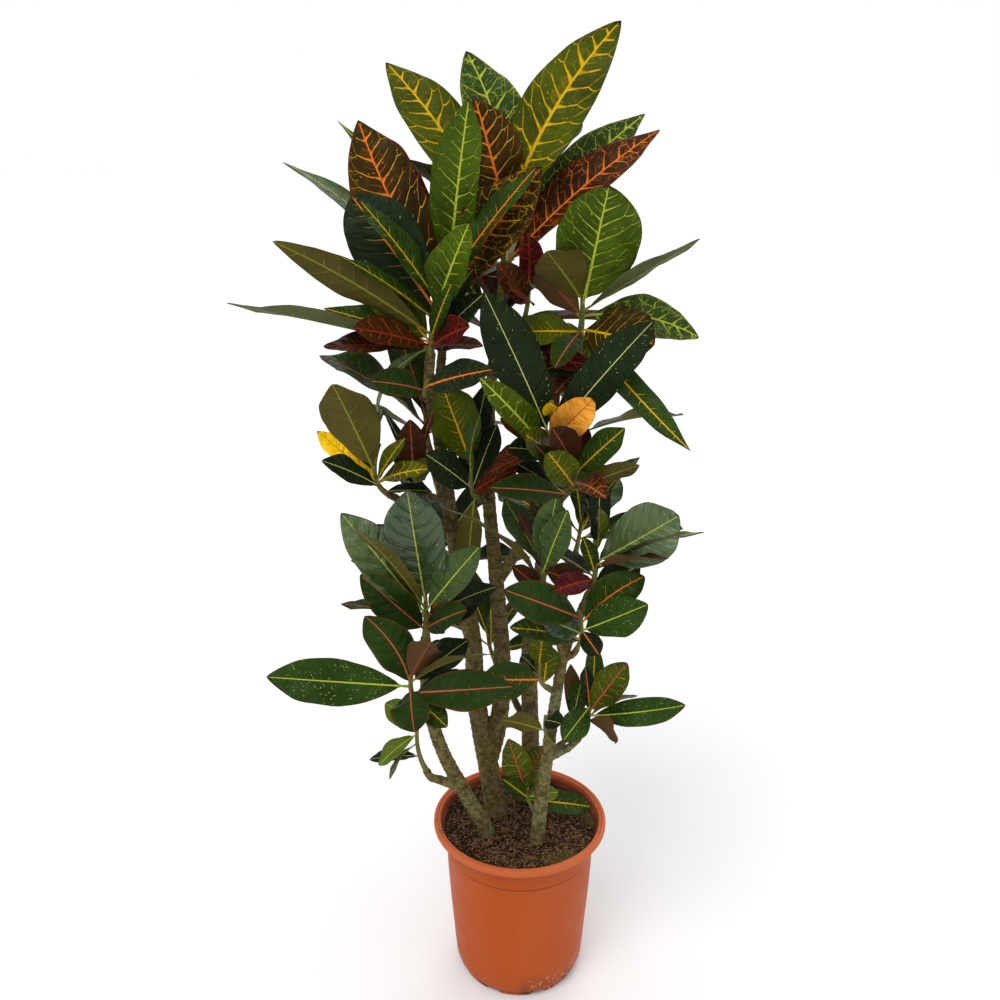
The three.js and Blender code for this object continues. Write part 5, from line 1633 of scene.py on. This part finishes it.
class CROTON_OT_soil(bpy.types.Operator):
    """Build the potting mix with loose crumbs and fibres on it"""

    bl_idname = "croton.soil"
    bl_label = "Soil"

    def execute(self, context):
        settings = context.scene.croton_soil
        radii = [SOIL_RADIUS * (i / SOIL_RINGS) for i in range(SOIL_RINGS + 1)]
        top = [(r, self.level(r * MM) / MM) for r in radii]
        bm = spun([*top, *SOIL_SIDE], SOIL_STEPS)
        for vertex in bm.verts:
            if vertex.co.z > SOIL_SURFACE:
                vertex.co.z += self.swell(vertex.co, settings)
        shade_smooth(bm.faces)
        made = object_from(bm, "soil_bed", soil_finish(settings))
        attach(made, "root")
        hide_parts("soil")
        self.crumbs(settings)
        self.fibres(settings)
        return {"FINISHED"}

    @staticmethod
    def level(radius):
        """Height of the soil's plain surface at a radius. Both are in metres."""
        return (SOIL_TOP - SOIL_DOME * (radius / (SOIL_RADIUS * MM)) ** 2) * MM

    @staticmethod
    def swell(point, settings):
        """How far the soil's surface stands above its plain shape."""
        flat = Vector((point.x, point.y, 0))
        edge = 1 - min(1, flat.length / (SOIL_RADIUS * MM)) ** 12
        rough = (noise.noise(flat * 55) + 0.55 * noise.noise(flat * 170)
                 + 0.3 * noise.noise(flat * 420))
        return settings.relief * 0.5 * rough * edge

    def surface(self, dice, settings, reach):
        """A random point on the soil's surface, within a reach in millimetres."""
        radius = reach * math.sqrt(dice.roll()) * MM
        angle = 2 * math.pi * dice.roll()
        point = Vector((radius * math.cos(angle), radius * math.sin(angle), 0))
        point.z = self.level(radius) + self.swell(point, settings)
        return point

    def crumbs(self, settings):
        """Loose lumpy crumbs, most of them small."""
        dice = Dice(CRUMB_SEED)
        bm = bmesh.new()
        for _ in range(settings.crumbs):
            centre = self.surface(dice, settings, CRUMB_REACH)
            size = (CRUMB_LEAST + CRUMB_RANGE * dice.roll() ** 3) * MM
            made = bmesh.ops.create_icosphere(bm, subdivisions=1, radius=size)["verts"]
            flat = 0.5 + 0.4 * dice.roll()
            for vertex in made:
                rough = 1 + 0.5 * noise.noise(vertex.co * 900 + centre * 3000)
                vertex.co = centre + Vector((vertex.co.x, vertex.co.y, vertex.co.z * flat)) * rough
        made = object_from(bm, "soil_crumbs", plain_finish("soil_crumb", settings.light, 0.95))
        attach(made, "root")

    def fibres(self, settings):
        """Short curled coir fibres that lie on the soil."""
        dice = Dice(FIBRE_SEED)
        bm = bmesh.new()
        for _ in range(settings.fibres):
            point = self.surface(dice, settings, FIBRE_REACH)
            heading = 2 * math.pi * dice.roll()
            turn = 0.5 * (dice.roll() - 0.5)
            path = []
            for _ in range(FIBRE_STEPS):
                flat = Vector((point.x, point.y, 0))
                if flat.length > FIBRE_LIMIT * MM:
                    break
                height = self.level(flat.length) + self.swell(flat, settings) + FIBRE_LIFT * MM
                path.append(Vector((point.x, point.y, height)) / MM)
                ahead = Vector((math.cos(heading), math.sin(heading), 0))
                point = point + ahead * (FIBRE_STEP * MM) * (0.5 + dice.roll())
                heading += turn + 0.5 * (dice.roll() - 0.5)
            if len(path) > 2:
                tube(bm, path, lambda t: FIBRE_RADIUS * (1 - 0.5 * t), 4)
        made = object_from(bm, "soil_fibres", plain_finish("soil_fibre", settings.fibre, 0.9))
        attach(made, "root")


class CROTON_OT_stage(bpy.types.Operator):
    """Build the floor, the lights and the camera"""

    bl_idname = "croton.stage"
    bl_label = "Stage"

    def execute(self, context):
        scene = context.scene
        settings = scene.croton_stage
        bm = bmesh.new()
        bmesh.ops.create_circle(bm, cap_ends=True, segments=96, radius=FLOOR_RADIUS)
        bmesh.ops.recalc_face_normals(bm, faces=bm.faces)
        floor = object_from(bm, "floor", Finish("studio_floor").done(settings.floor, 0.9))
        scene.view_settings.view_transform = "Standard"

        world = bpy.data.worlds.new("studio")
        world.use_nodes = True
        sky = world.node_tree.nodes["Background"]
        sky.inputs["Color"].default_value = (1, 1, 1, 1)
        sky.inputs["Strength"].default_value = settings.sky
        scene.world = world
        self.sun("key_light", KEY_FROM, KEY_SPREAD, settings.key)
        self.sun("back_light", BACK_FROM, BACK_SPREAD, settings.key * BACK_SHARE)

        camera = bpy.data.cameras.new("camera")
        camera.sensor_width = CAMERA_SENSOR
        camera.lens = CAMERA_LENS
        made = bpy.data.objects.new("camera", camera)
        made.location = CAMERA_PLACE
        made.rotation_euler = (math.radians(90 - CAMERA_DOWN), 0, 0)
        scene.collection.objects.link(made)
        scene.camera = made
        return {"FINISHED"}

    @staticmethod
    def sun(name, towards, spread, strength):
        """A soft light from far away, its spread in degrees."""
        light = bpy.data.lights.new(name, "SUN")
        light.angle = math.radians(spread)
        light.energy = strength
        made = bpy.data.objects.new(name, light)
        made.location = towards
        made.rotation_mode = "QUATERNION"
        made.rotation_quaternion = Vector(towards).to_track_quat("Z", "Y")
        bpy.context.scene.collection.objects.link(made)


# ------------------------------------------------------------------ add-on


class CROTON_PT_panel(bpy.types.Panel):
    """Lists the plant's settings and the buttons that build it"""

    bl_idname = "CROTON_PT_panel"
    bl_label = "Potted croton"
    bl_space_type = "VIEW_3D"
    bl_region_type = "UI"
    bl_category = "Croton"

    def draw(self, context):
        for operator, groups in BUILD_ORDER:
            box = self.layout.box()
            box.operator(operator)
            for group in groups:
                settings = getattr(context.scene, group)
                for name in settings.bl_rna.properties.keys():
                    if name not in ("rna_type", "name"):
                        box.prop(settings, name)


SETTINGS = {
    "croton_leaf_colours": LeafColours,
    "croton_leaf_sizes": LeafSizes,
    "croton_stems": StemSettings,
    "croton_pot": PotSettings,
    "croton_soil": SoilSettings,
    "croton_stage": StageSettings,
}
# Each operator, in the order in which they run, and the settings that it reads.
BUILD_ORDER = (
    ("croton.pot", ("croton_pot",)),
    ("croton.soil", ("croton_soil",)),
    ("croton.stems", ("croton_stems",)),
    ("croton.shoots", ("croton_leaf_sizes", "croton_leaf_colours")),
    ("croton.stage", ("croton_stage",)),
)
CLASSES = (*SETTINGS.values(), CROTON_OT_pot, CROTON_OT_soil, CROTON_OT_stems, CROTON_OT_shoots,
           CROTON_OT_stage, CROTON_PT_panel)


def register():
    for cls in CLASSES:
        bpy.utils.register_class(cls)
    for name, cls in SETTINGS.items():
        setattr(bpy.types.Scene, name, bpy.props.PointerProperty(type=cls))


def unregister():
    for name in SETTINGS:
        delattr(bpy.types.Scene, name)
    for cls in reversed(CLASSES):
        bpy.utils.unregister_class(cls)


def main():
    register()
    for operator, _ in BUILD_ORDER:
        module, name = operator.split(".")
        getattr(getattr(bpy.ops, module), name)()


if __name__ == "__main__":
    main()
